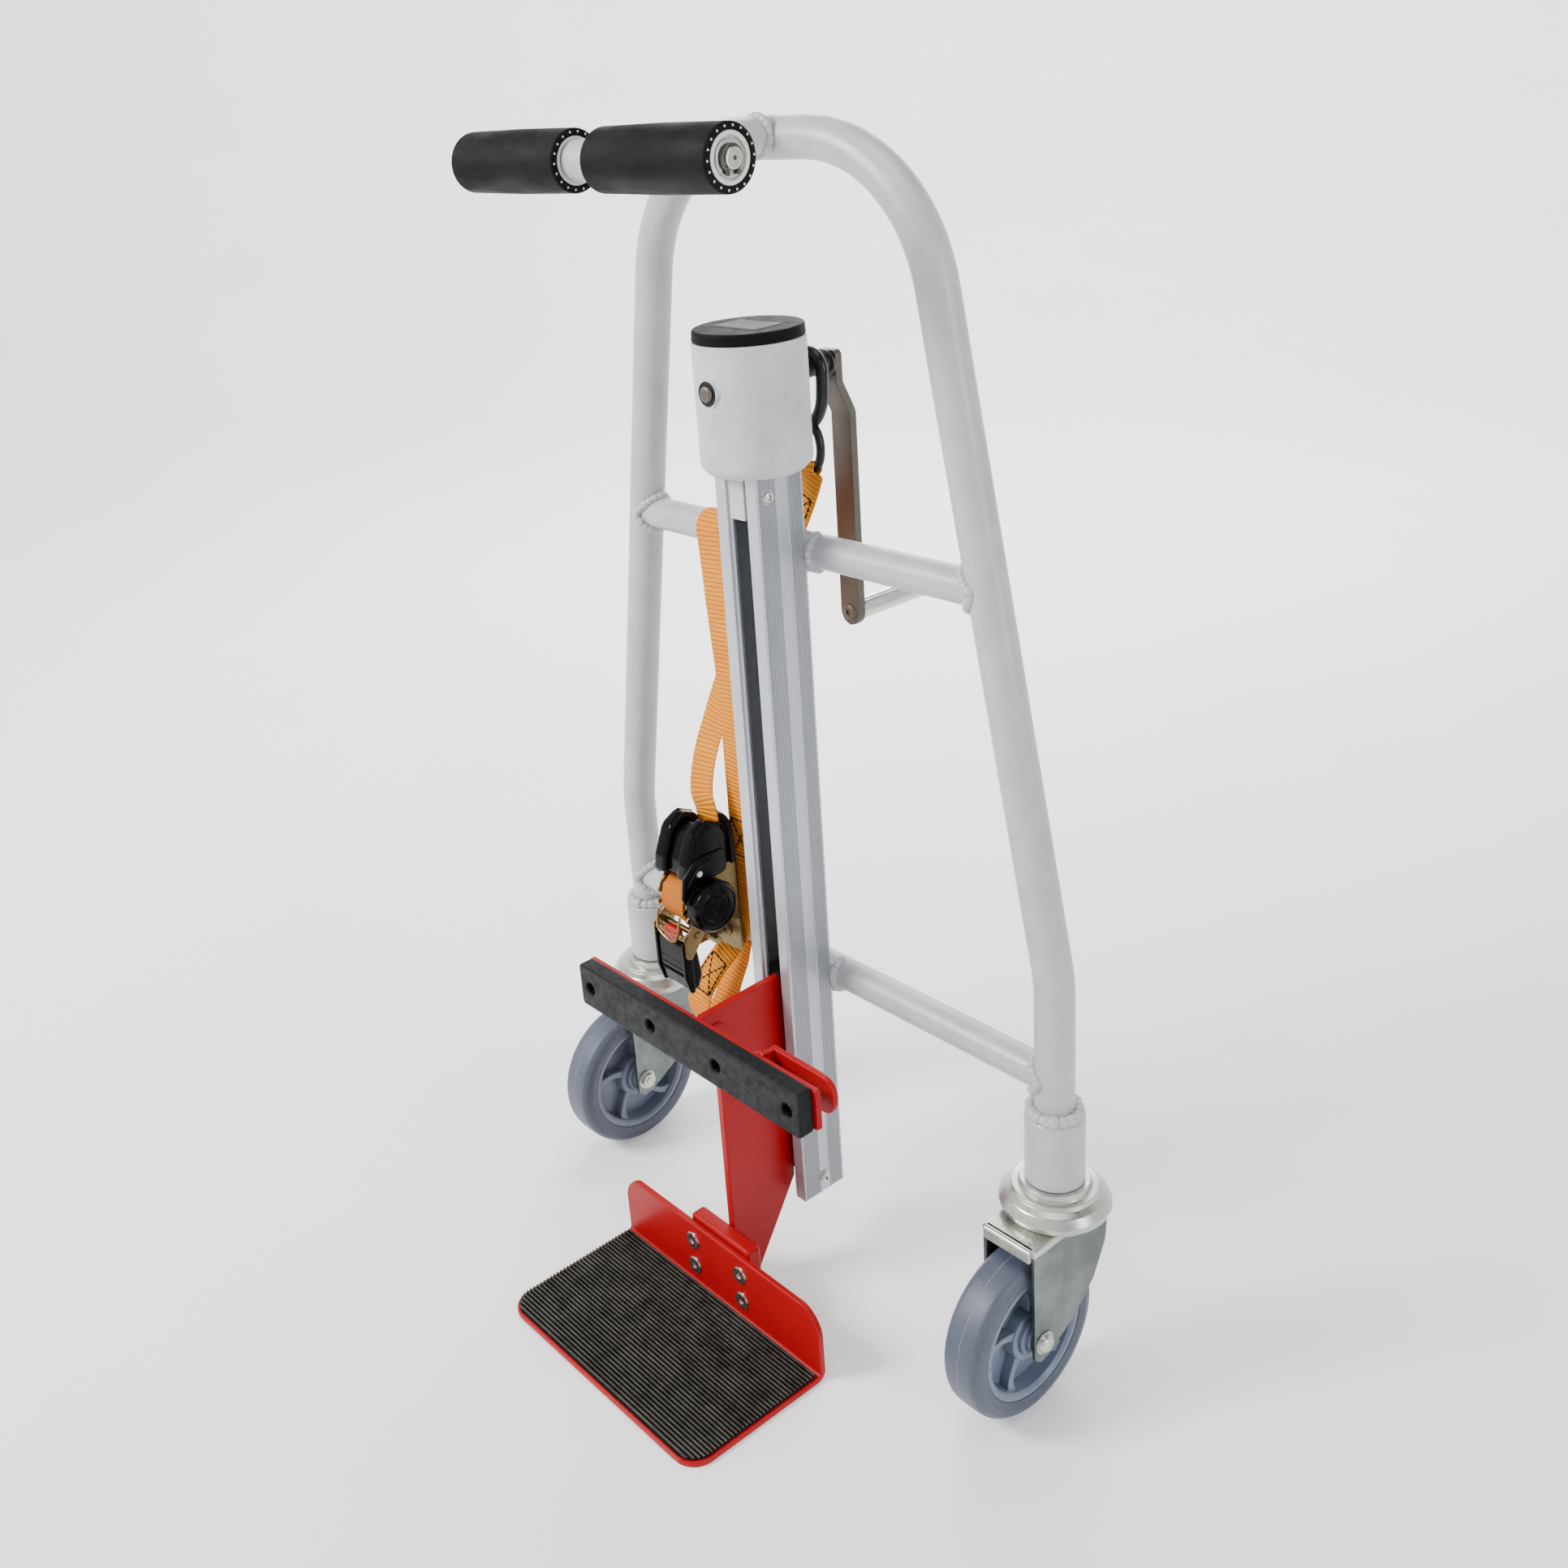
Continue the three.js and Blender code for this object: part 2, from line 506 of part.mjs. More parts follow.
function webbingStrip(points, isLoop, sideways) {
  const half = strap.thick / 2;
  const [outer, inner] = [offsetLine(points, -half, isLoop), offsetLine(points, half, isLoop)];
  const shape = outline(isLoop ? outer : [...outer, ...inner.reverse()]);
  if (isLoop) shape.holes.push(new THREE.Path(outline(inner).getPoints()));
  const strip = plateYZ(shape, -strap.half, strap.half);
  const place = strip.attributes.position;
  for (let i = 0; i < place.count; i += 1) {
    place.setX(i, place.getX(i) + sideways(place.getY(i), place.getZ(i)));
  }
  return strip;
}

function smooth(points, count) {
  const curve = new THREE.SplineCurve(points.map(([y, z]) => new THREE.Vector2(y, z)));
  return curve.getPoints(count).map((point) => [point.x, point.y]);
}

// The sling: round the lower cross tube, up the back, over the upper tube and down in front.
const wrap = tube.cross + 0.4 + strap.thick / 2;
const slack = smooth([
  [-18, 560], [-19, 400], [-20, 330], [-24, 299], [-46, 268], [-62, 238], [-52, 213], [-28, 226], [-8, 268],
], 22);
const sling = [
  [wrap, 560], [wrap, 640], ...arc(0, crossZ.upper, wrap, 0, 180, 10), ...slack,
  ...arc(0, crossZ.lower, wrap + 1.5, 255, 360, 6), [wrap + 1, 380], [wrap, 470],
];
const slingX = (y, z) => {
  const back = THREE.MathUtils.smoothstep(y, -15, 15);
  const drop = crossZ.upper - Math.max(z, 290);
  const swing = 36 * THREE.MathUtils.smoothstep(372 - z, 0, 130);
  return -103 + (1 - back) * (Math.min(16, Math.max(0, drop * 0.09)) - swing) - back * Math.max(0, drop) * 0.06;
};
piece('strap_sling', webbingStrip(sling, true, slingX), webbing);

// The hook strap: from the hook down behind the upper cross tube and forward into the ratchet.
const hookStrap = smooth([
  [24, 801], [23, 770], [20.5, 731], [15, 670], [8, 625], [0, 580], [-8, 540], [-27, 500], [-40, 470],
  [-46, 456],
], 26);
const hookStrapX = [[801, -6], [770, -16], [731, -33], [625, -88], [580, -108], [540, -129], [500, -129.5],
  [470, -117], [450, -113]];
function between(table, z) {
  let i = 0;
  while (i < table.length - 2 && z < table[i + 1][0]) i += 1;
  const [[z0, x0], [z1, x1]] = [table[i], table[i + 1]];
  return x0 + ((x1 - x0) * (z - z0)) / (z1 - z0);
}
piece('strap_hook_run', webbingStrip(hookStrap, false, (y, z) => between(hookStrapX, z)), webbing);

// ---- snap hook on the crank shaft ---------------------------------------------------------
const hook = { y: 24, wire: 4.5, curl: 14.5, x: -2 };
const curlZ = crank.z - (hook.curl - hook.wire - crank.shaft - GAP);
function snapHook() {
  const path = [
    ...arc(0, curlZ, hook.curl, 205, 0, 9), [13, 850], [7, 836], [-1, 829],
  ].map(([x, z]) => new THREE.Vector3(x, hook.y, z));
  const eye = new THREE.TorusGeometry(11, 4, 8, 16).rotateX(Math.PI / 2);
  eye.scale(1.35, 1, 1).translate(hook.x, hook.y, 816);
  const lug = rod([-14.5, hook.y - 3, 828], [-14.5, hook.y + 3, 828], 4.5, COARSE);
  const arm = rod([-14.5, hook.y, 828], [-2, hook.y, 828], 3, COARSE);
  return join(bar(path, hook.wire, 8, 20), eye, lug, arm);
}
piece('snap_hook', snapHook(), black);
piece('hook_gate', rod([-14.5, hook.y, 833], [-13.5, hook.y, 861], 2.6, COARSE), zinc);

// The origin lies on the floor under the middle of the whole object.
group.position.y = -(foot.front + gripEnd + 3) / 2;

export default group;
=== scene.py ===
"""Furniture lifting dolly: the visual model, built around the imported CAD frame.

Lengths in this script are millimetres measured from the plane of the two frame legs,
as the part's source has them; place() turns them into the row frame's metres.
"""

import math
import random

import bmesh
import bpy
from mathutils import Matrix, Vector, noise


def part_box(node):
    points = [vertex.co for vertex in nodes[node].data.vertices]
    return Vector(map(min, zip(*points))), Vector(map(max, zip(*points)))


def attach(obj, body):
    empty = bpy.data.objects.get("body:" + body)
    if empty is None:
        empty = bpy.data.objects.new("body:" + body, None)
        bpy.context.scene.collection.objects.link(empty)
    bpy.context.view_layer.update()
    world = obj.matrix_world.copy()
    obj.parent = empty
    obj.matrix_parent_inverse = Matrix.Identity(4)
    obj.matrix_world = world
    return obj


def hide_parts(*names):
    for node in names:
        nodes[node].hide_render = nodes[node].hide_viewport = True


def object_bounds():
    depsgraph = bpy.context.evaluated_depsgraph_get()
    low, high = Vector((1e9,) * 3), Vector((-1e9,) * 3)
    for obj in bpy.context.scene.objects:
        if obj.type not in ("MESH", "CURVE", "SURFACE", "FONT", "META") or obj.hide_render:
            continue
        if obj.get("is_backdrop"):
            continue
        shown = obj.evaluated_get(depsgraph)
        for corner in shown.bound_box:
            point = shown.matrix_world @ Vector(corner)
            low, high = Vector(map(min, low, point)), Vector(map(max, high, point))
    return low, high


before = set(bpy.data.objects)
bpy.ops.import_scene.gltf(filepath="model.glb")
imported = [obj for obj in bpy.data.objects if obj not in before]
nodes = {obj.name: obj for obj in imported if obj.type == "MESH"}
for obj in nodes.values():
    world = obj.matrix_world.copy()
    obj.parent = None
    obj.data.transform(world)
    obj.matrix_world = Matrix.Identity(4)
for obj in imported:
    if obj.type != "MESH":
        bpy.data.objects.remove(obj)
cad_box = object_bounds()

MM = 0.001
leg_low, leg_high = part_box("leg_left")
PLANE_Y = (leg_low.y + leg_high.y) / 2
TAU = math.tau


def place(x, y, z):
    return Vector((x * MM, y * MM + PLANE_Y, z * MM))


# ---- driving dimensions, as in the part's source; the column's slot is drawn wider ---------
TUBE, CROSS = 16.85, 15.0
CASTER_X, BEND_Z, BEND_R = 274.0, 404.0, 160.0
SHOULDER_X, SHOULDER_Z, APEX_Z = 168.0, 956.0, 1065.0
CROSS_Z = (727.0, 310.0)
SOCKET_R, SOCKET_LOW, SOCKET_TOP = 25.5, 212.3, 280.0
COL_HALF, COL_BACK, COL_FRONT, COL_LOW, COL_TOP = 26.4, -15.3, -67.6, 79.0, 805.0
OPEN_HALF, RECESS_HALF, RECESS_Y, SLOT_BACK_Y, SLOT_TOP = 9.4, 12.3, -64.8, -61.8, 767.0
SCREW_Y = -41.2
HEAD_R, HEAD_LOW, HEAD_TOP = 47.3, 805.3, 915.0
CRANK_Z, SHAFT_R, CRANK_LEN = 877.5, 8.0, 228.0
ARM_Y, ARM_THICK, ARM_WIDE, ARM_JOG = 44.0, 8.0, 24.0, 14.0
PUSH_Z, PUSH_Y = 1068.0, -182.0
ROLLER_R, ROLLER_IN, ROLLER_OUT = 24.0, 17.0, 155.5
BUMPER_HALF, BUMPER_LOW, BUMPER_TOP, BUMPER_BACK = 158.0, 283.0, 322.5, -157.7
FOOT_HALF, FOOT_BACK, FOOT_FRONT, FLANGE_TOP, SHEET = 141.0, -158.0, -319.0, 75.0, 6.0
WHEEL_R, WHEEL_W, TRAIL, RIM_R = 80.0, 40.0, 50.0, 61.0
RX, RY, RZ = -108.0, -70.0, 372.0
STRAP_HALF, STRAP_THICK = 16.0, 1.8
HOOK_Y, CURL, WIRE = 24.0, 14.5, 4.5
GRIP_Z = CRANK_Z - CRANK_LEN
ARM_OUT = ARM_Y + ARM_THICK + ARM_JOG
LEAN = math.atan2(CASTER_X - SHOULDER_X, SHOULDER_Z - BEND_Z)


# ---- materials ----------------------------------------------------------------------------
def new_material(name):
    material = bpy.data.materials.new(name)
    material.use_nodes = True
    tree = material.node_tree
    tree.nodes.clear()
    out = tree.nodes.new("ShaderNodeOutputMaterial")
    shader = tree.nodes.new("ShaderNodeBsdfPrincipled")
    tree.links.new(shader.outputs["BSDF"], out.inputs["Surface"])
    return material, tree, shader


def node(tree, kind, **values):
    made = tree.nodes.new(kind)
    for key, value in values.items():
        if key in made.inputs:
            made.inputs[key].default_value = value
        else:
            setattr(made, key, value)
    return made


def coordinates(tree, scale=(1, 1, 1), source="Object"):
    coords = tree.nodes.new("ShaderNodeTexCoord")
    mapping = node(tree, "ShaderNodeMapping")
    mapping.inputs["Scale"].default_value = scale
    tree.links.new(coords.outputs[source], mapping.inputs["Vector"])
    return mapping.outputs["Vector"]


def noise_map(tree, vector, scale, detail=4.0, rough=0.55):
    made = node(tree, "ShaderNodeTexNoise", Scale=scale, Detail=detail, Roughness=rough)
    tree.links.new(vector, made.inputs["Vector"])
    return made.outputs["Fac"]


def ramp(tree, value, stops):
    made = tree.nodes.new("ShaderNodeValToRGB")
    elements = made.color_ramp.elements
    while len(elements) < len(stops):
        elements.new(0.5)
    for element, (place_at, colour) in zip(elements, stops):
        element.position = place_at
        element.color = (*colour, 1) if len(colour) == 3 else colour
    tree.links.new(value, made.inputs["Fac"])
    return made.outputs["Color"]


def remap(tree, value, low, high, out_low, out_high):
    made = tree.nodes.new("ShaderNodeMapRange")
    for name, number in zip(("From Min", "From Max", "To Min", "To Max"), (low, high, out_low, out_high)):
        made.inputs[name].default_value = number
    tree.links.new(value, made.inputs["Value"])
    return made.outputs["Result"]


def blend_colours(tree, factor, a, b, kind="MIX"):
    made = tree.nodes.new("ShaderNodeMix")
    made.data_type = "RGBA"
    made.blend_type = kind
    tree.links.new(factor, made.inputs["Factor"])
    for socket, colour in ((made.inputs[6], a), (made.inputs[7], b)):
        if isinstance(colour, tuple):
            socket.default_value = (*colour, 1)
        else:
            tree.links.new(colour, socket)
    return made.outputs[2]


def add_bump(tree, shader, layers):
    """Each layer is (height, strength, distance in metres)."""
    last = None
    for height, strength, distance in layers:
        made = node(tree, "ShaderNodeBump", Strength=strength, Distance=distance)
        tree.links.new(height, made.inputs["Height"])
        if last:
            tree.links.new(last, made.inputs["Normal"])
        last = made.outputs["Normal"]
    tree.links.new(last, shader.inputs["Normal"])


def shade(tone, factor):
    return tuple(channel * factor for channel in tone)


def surface(name, tone, rough, metal=0.0, patch=0.12, patch_scale=30.0, grain=900.0, grain_bump=0.15,
            stretch=(1, 1, 1), rough_spread=0.08, coat=0.0, scuff=None, specular=0.5):
    """A used, slightly uneven finish: broad patches of tone, fine grain in bump and gloss, and scuffs."""
    material, tree, shader = new_material(name)
    vector = coordinates(tree, stretch)
    broad = noise_map(tree, vector, patch_scale, 5)
    fine = noise_map(tree, vector, grain, 2)
    colour = ramp(tree, broad, [(0.3, shade(tone, 1 - patch)), (0.7, shade(tone, 1 + patch))])
    if scuff:
        marks = noise_map(tree, coordinates(tree, (1, 0.2, 1)), 260.0, 5, 0.7)
        colour = blend_colours(tree, remap(tree, marks, 0.62, 0.74, 0, 0.6), colour, scuff)
    tree.links.new(colour, shader.inputs["Base Color"])
    gloss = noise_map(tree, vector, patch_scale * 3, 6)
    spread = remap(tree, gloss, 0.3, 0.7, rough - rough_spread, rough + rough_spread)
    tree.links.new(spread, shader.inputs["Roughness"])
    shader.inputs["Metallic"].default_value = metal
    shader.inputs["Coat Weight"].default_value = coat
    shader.inputs["Coat Roughness"].default_value = 0.12
    shader.inputs["Specular IOR Level"].default_value = specular
    add_bump(tree, shader, [(broad, 0.05, 0.001), (fine, grain_bump, 0.0002)])
    return material


def webbing_material():
    """Ribbed polyester webbing: cross ribs and warp lines from the strip's own metres, and painted shade in
    the rib grooves, darker or lighter as a noise varies.
    """
    material, tree, shader = new_material("orange_webbing")
    vector = coordinates(tree, (1, 1, 1), "UV")
    ribs = node(tree, "ShaderNodeTexWave", bands_direction="Y", Scale=72.0, Distortion=0.5, Detail=1.5)
    warp = node(tree, "ShaderNodeTexWave", bands_direction="X", Scale=300.0, Distortion=0.0)
    for wave in (ribs, warp):
        tree.links.new(vector, wave.inputs["Vector"])
    patches = noise_map(tree, vector, 25.0, 4)
    # a noise that sets how dark the painted shade in the rib grooves is
    shade_spread = noise_map(tree, vector, 220.0, 3)
    base = ramp(tree, patches, [(0.3, (0.70, 0.225, 0.0002)), (0.7, (0.78, 0.290, 0.0005))])
    # painted shade: the colour darkened in the rib grooves
    rib_groove_shade = ramp(tree, ribs.outputs["Fac"], [(0.0, (0.42, 0.24, 0.10)), (0.38, (1, 1, 1))])
    colour = blend_colours(tree, remap(tree, shade_spread, 0, 1, 0.55, 0.9), base, rib_groove_shade, "MULTIPLY")
    tree.links.new(colour, shader.inputs["Base Color"])
    shader.inputs["Roughness"].default_value = 0.66
    shader.inputs["Specular IOR Level"].default_value = 0.25
    add_bump(tree, shader, [(ribs.outputs["Fac"], 0.8, 0.0009), (warp.outputs["Fac"], 0.25, 0.0002)])
    return material


def yellow_zinc_material(name, depth):
    """Yellow chromate on zinc: gold with green and pink iridescent clouds."""
    material, tree, shader = new_material(name)
    vector = coordinates(tree)
    clouds = noise_map(tree, vector, 60.0, 6, 0.65)
    speck = noise_map(tree, vector, 700.0, 3)
    tones = ((0.3, (0.56, 0.35, 0.12)), (0.45, (0.72, 0.48, 0.19)),
             (0.6, (0.64, 0.50, 0.22)), (0.75, (0.74, 0.34, 0.17)))
    colour = ramp(tree, clouds, [(spot, shade(tone, depth)) for spot, tone in tones])
    dark = shade((0.34, 0.22, 0.09), depth)
    speckled = blend_colours(tree, remap(tree, speck, 0.45, 0.65, 0, 0.4), colour, dark)
    tree.links.new(speckled, shader.inputs["Base Color"])
    tree.links.new(remap(tree, speck, 0.3, 0.7, 0.22, 0.42), shader.inputs["Roughness"])
    shader.inputs["Metallic"].default_value = 0.95
    add_bump(tree, shader, [(speck, 0.12, 0.0002)])
    return material


def zinc_material(name, tones, rough):
    """Zinc plate: soft clouds of tone, faint drawing marks and a few dull specks."""
    material, tree, shader = new_material(name)
    vector = coordinates(tree)
    clouds = noise_map(tree, vector, 22.0, 5, 0.55)
    streaks = noise_map(tree, coordinates(tree, (1, 1, 0.08)), 160.0, 3)
    specks = noise_map(tree, vector, 420.0, 3)
    colour = ramp(tree, clouds, [(0.32, tones[0]), (0.5, tones[1]), (0.68, tones[2])])
    dulled = blend_colours(tree, remap(tree, specks, 0.62, 0.72, 0, 0.25), colour, shade(tones[0], 0.6))
    tree.links.new(dulled, shader.inputs["Base Color"])
    tree.links.new(remap(tree, streaks, 0.3, 0.7, rough - 0.06, rough + 0.08), shader.inputs["Roughness"])
    shader.inputs["Metallic"].default_value = 0.9
    add_bump(tree, shader, [(clouds, 0.06, 0.0008), (streaks, 0.04, 0.0002)])
    return material


def aluminium_material():
    """Satin anodised extrusion with die lines along Z."""
    material, tree, shader = new_material("anodised_aluminium")
    lines = noise_map(tree, coordinates(tree, (1, 1, 0.004)), 1500.0, 3)
    clouds = noise_map(tree, coordinates(tree, (1, 1, 0.3)), 24.0, 4)
    colour = ramp(tree, clouds, [(0.3, (0.43, 0.45, 0.49)), (0.7, (0.54, 0.56, 0.60))])
    lined = ramp(tree, lines, [(0.35, (0.80, 0.80, 0.81)), (0.6, (1, 1, 1))])
    streaked = blend_colours(tree, remap(tree, clouds, 0, 1, 0.4, 0.9), colour, lined, "MULTIPLY")
    tree.links.new(streaked, shader.inputs["Base Color"])
    tree.links.new(remap(tree, lines, 0.3, 0.7, 0.28, 0.44), shader.inputs["Roughness"])
    shader.inputs["Metallic"].default_value = 0.62
    add_bump(tree, shader, [(lines, 0.25, 0.0001)])
    return material


def mat_material():
    """Ribbed rubber: painted shade near black in the grooves and dusty tones on the rib tops, by the height
    kept in the mat's UVs.
    """
    material, tree, shader = new_material("mat_rubber")
    vector = coordinates(tree)
    height = tree.nodes.new("ShaderNodeSeparateXYZ")
    tree.links.new(coordinates(tree, (1, 1, 1), "UV"), height.inputs[0])
    dust = noise_map(tree, vector, 55.0, 6, 0.65)
    grit = noise_map(tree, vector, 900.0, 3)
    tops = ramp(tree, dust, [(0.32, (0.020, 0.019, 0.017)), (0.68, (0.078, 0.074, 0.061))])
    # painted shade: the grooves near black, the rib tops lighter, by the rib height
    raised = remap(tree, height.outputs[0], 0.55, 1.0, 0, 1)
    colour = blend_colours(tree, raised, (0.0014, 0.0014, 0.0014), tops)
    tree.links.new(colour, shader.inputs["Base Color"])
    tree.links.new(remap(tree, dust, 0.3, 0.7, 0.40, 0.66), shader.inputs["Roughness"])
    shader.inputs["Specular IOR Level"].default_value = 0.2
    add_bump(tree, shader, [(dust, 0.1, 0.0008), (grit, 0.4, 0.0002)])
    return material


def tyre_material():
    material, tree, shader = new_material("blue_grey_tyre")
    vector = coordinates(tree)
    clouds = noise_map(tree, vector, 26.0, 6, 0.6)
    specks = noise_map(tree, vector, 340.0, 4)
    base = ramp(tree, clouds, [(0.3, (0.044, 0.054, 0.084)), (0.7, (0.068, 0.081, 0.120))])
    colour = blend_colours(tree, remap(tree, specks, 0.66, 0.74, 0, 0.5), base, (0.26, 0.26, 0.27))
    tree.links.new(colour, shader.inputs["Base Color"])
    tree.links.new(remap(tree, clouds, 0.3, 0.7, 0.40, 0.56), shader.inputs["Roughness"])
    add_bump(tree, shader, [(clouds, 0.08, 0.001), (specks, 0.10, 0.0002)])
    return material


PAINT = surface("silver_grey_paint", (0.42, 0.432, 0.457), 0.40, 0.1, patch=0.08, grain=1300, grain_bump=0.3,
                scuff=(0.30, 0.30, 0.31), specular=0.3)
HEAD_PAINT = surface("head_paint", (0.49, 0.50, 0.51), 0.46, 0.1, patch=0.12, grain=700, grain_bump=0.4,
                     scuff=(0.34, 0.34, 0.34), specular=0.3)
RED = surface("red_powder_coat", (0.31, 0.0016, 0.0044), 0.36, patch=0.06, patch_scale=14, grain=620,
              grain_bump=0.12, specular=0.17, rough_spread=0.03)
STEEL = surface("nickel_steel", (0.130, 0.116, 0.102), 0.46, 1.0, patch=0.18, patch_scale=18, grain=900,
                grain_bump=0.12, stretch=(1, 1, 0.25), scuff=(0.16, 0.13, 0.10))
BRIGHT = surface("bright_steel", (0.58, 0.57, 0.55), 0.24, 1.0, patch=0.10, patch_scale=60, grain_bump=0.08)
CHROME = surface("chrome_sleeve", (0.62, 0.61, 0.58), 0.14, 1.0, patch=0.08, patch_scale=40, grain=600,
                 grain_bump=0.05, rough_spread=0.05)
GREASED = surface("greased_screw", (0.10, 0.095, 0.085), 0.38, 0.8, patch=0.3)
BLACK = surface("black_plastic", (0.0018, 0.0018, 0.0021), 0.2, patch=0.2, grain=800, grain_bump=0.25,
                rough_spread=0.05, specular=0.12)
CAP_BLACK = surface("cap_black", (0.0035, 0.0035, 0.004), 0.6, patch=0.2, grain=800, grain_bump=0.3,
                    specular=0.08)
BLACK_STEEL = surface("black_hook_coat", (0.003, 0.003, 0.0035), 0.2, patch=0.2, grain_bump=0.08,
                      coat=0.1, specular=0.3)
FOAM = surface("roller_rubber", (0.0036, 0.0035, 0.0036), 0.6, patch=0.45, patch_scale=22, grain=1500,
               grain_bump=0.5, stretch=(0.35, 1, 1), rough_spread=0.12, specular=0.10,
               scuff=(0.02, 0.02, 0.02))
BUMPER = surface("bumper_rubber", (0.006, 0.0066, 0.008), 0.52, patch=0.35, patch_scale=45, grain=900,
                 grain_bump=0.6, rough_spread=0.14, specular=0.15, scuff=(0.028, 0.029, 0.032))
MAT = mat_material()
RIM = surface("rim_plastic", (0.120, 0.146, 0.210), 0.34, patch=0.06, grain=700, grain_bump=0.12)
FLASH = surface("mould_flash", (0.24, 0.25, 0.28), 0.5, patch=0.3, patch_scale=90, specular=0.3)
CREAM = surface("cream_bush", (0.70, 0.68, 0.60), 0.45, patch=0.08, grain_bump=0.1)
THREAD = surface("black_thread", (0.006, 0.005, 0.005), 0.8, patch=0.2, grain_bump=0.6, specular=0.2)
YELLOW = surface("yellow_sticker", (0.85, 0.62, 0.003), 0.35, patch=0.04, grain_bump=0.05)
GREY_STICKER = surface("grey_sticker", (0.36, 0.34, 0.40), 0.4, patch=0.05, grain_bump=0.05)
PLATE = surface("cap_plate", (0.13, 0.13, 0.125), 0.6, patch=0.10, specular=0.1)
REDMARK = surface("red_release_tab", (0.36, 0.003, 0.006), 0.32, patch=0.1)
WEB = webbing_material()
GOLD = yellow_zinc_material("yellow_zinc", 0.46)
# The darker copy of the yellow zinc is painted shade, for the ratchet's back plate and far cheek.
SHADED_GOLD = yellow_zinc_material("yellow_zinc_shaded", 0.24)
ZINC = zinc_material("bright_zinc",
                     ((0.36, 0.37, 0.34), (0.47, 0.48, 0.44), (0.58, 0.58, 0.53)), 0.30)
# The darker copy of the zinc is painted shade: the fork's cheeks darker than the bridge on top and the swivel
# head, as the light falls.
SHADED_ZINC = zinc_material("shaded_fork_zinc",
                          ((0.075, 0.092, 0.088), (0.115, 0.138, 0.130), (0.18, 0.20, 0.19)), 0.27)
ALUMINIUM = aluminium_material()
TYRE = tyre_material()
SLOTS = {PAINT: "paint", HEAD_PAINT: "paint", RED: "red_paint", STEEL: "steel", BRIGHT: "zinc", ZINC: "zinc",
         SHADED_ZINC: "zinc", CHROME: "zinc", GOLD: "yellow_zinc", SHADED_GOLD: "yellow_zinc", ALUMINIUM: "anodised",
         BLACK: "black_plastic", CAP_BLACK: "black_plastic", BLACK_STEEL: "black_plastic",
         FOAM: "black_rubber", BUMPER: "black_rubber", MAT: "black_rubber", RIM: "rim", TYRE: "tyre",
         WEB: "webbing"}

# ---- shapes: each returns (points, faces, uvs), in millimetres ----------------------------
def merged(*shapes):
    points, faces, uvs = [], [], []
    for part_points, part_faces, part_uvs in shapes:
        start = len(points)
        points += part_points
        faces += [tuple(start + i for i in face) for face in part_faces]
        uvs += part_uvs or [(0, 0)] * len(part_points)
    return points, faces, uvs


def moved(shape, change):
    points, faces, uvs = shape
    return [Vector(change(Vector(p))) for p in points], faces, uvs


def shifted(shape, x=0, y=0, z=0):
    return moved(shape, lambda p: p + Vector((x, y, z)))


def mirrored(shape):
    return moved(shape, lambda p: Vector((-p.x, p.y, p.z)))


def fillet(points, radius=2.0, steps=4):
    """A closed outline with its corners rounded; a third number in a point is its own radius."""
    result = []
    for i, point in enumerate(points):
        here = Vector(point[:2])
        before, after = Vector(points[i - 1][:2]), Vector(points[(i + 1) % len(points)][:2])
        reach = point[2] if len(point) > 2 else radius
        turn = (before - here).angle(after - here, math.pi)
        shorter = min((before - here).length, (after - here).length)
        cut = min(reach / max(math.tan(turn / 2), 0.05), 0.48 * shorter)
        if turn > 3.0 or cut < 1e-4:
            result.append(tuple(here))
            continue
        a = here + (before - here).normalized() * cut
        b = here + (after - here).normalized() * cut
        for k in range(steps + 1):
            t = k / steps
            result.append(tuple(a * (1 - t) ** 2 + here * 2 * t * (1 - t) + b * t ** 2))
    return result


def arc(cx, cy, radius, start, end, count=12):
    turns = [math.radians(start + (end - start) * i / count) for i in range(count + 1)]
    return [(cx + radius * math.cos(t), cy + radius * math.sin(t)) for t in turns]


def circle(cx, cy, radius, count=40):
    return arc(cx, cy, radius, 0, 360 - 360 / count, count - 1)


def on_axis(axis, along, a, b):
    return {"X": (along, a, b), "Y": (a, along, b), "Z": (a, b, along)}[axis]


def turned(profile, axis, centre=(0, 0), sides=72, closed=True):
    """A lathe shape: profile points are (radius, place along the axis)."""
    points, faces = [], []
    count = len(profile)
    for step in range(sides):
        angle = TAU * step / sides
        for radius, along in profile:
            a, b = radius * math.cos(angle), radius * math.sin(angle)
            points.append(Vector(on_axis(axis, along, centre[0] + a, centre[1] + b)))
    for step in range(sides):
        here, there = step * count, (step + 1) % sides * count
        for i in range(count if closed else count - 1):
            j = (i + 1) % count
            faces.append((here + i, here + j, there + j, there + i))
    return points, faces, None


def ring(inner, outer, low, high, axis, centre=(0, 0), edge=0.8, sides=72):
    profile = fillet([(inner, low), (outer, low), (outer, high), (inner, high)], edge, 3)
    return turned(profile, axis, centre, sides)


def dome(radius, low, high, axis, centre=(0, 0), edge=1.5, sides=48):
    """A solid disc with a rounded far rim; high may lie below low."""
    lip = math.copysign(edge, high - low)
    profile = [(0, low), (radius, low), (radius, high - lip)]
    profile += [(radius - edge + edge * math.cos(t), high - lip + lip * math.sin(t))
                for t in (0.4, 0.8, 1.2, 1.57)]
    return turned(profile + [(0, high)], axis, centre, sides)


def loft(rings, loop=False, uvs=None):
    """Rings of the same number of points, joined in order and capped at the ends."""
    count = len(rings[0])
    points = [Vector(p) for section in rings for p in section]
    faces = []
    for i in range(len(rings) if loop else len(rings) - 1):
        here, there = i * count, (i + 1) % len(rings) * count
        for k in range(count):
            n = (k + 1) % count
            faces.append((here + k, here + n, there + n, there + k))
    if not loop:
        faces += [tuple(range(count)), tuple(range((len(rings) - 1) * count, len(rings) * count))]
    return points, faces, uvs


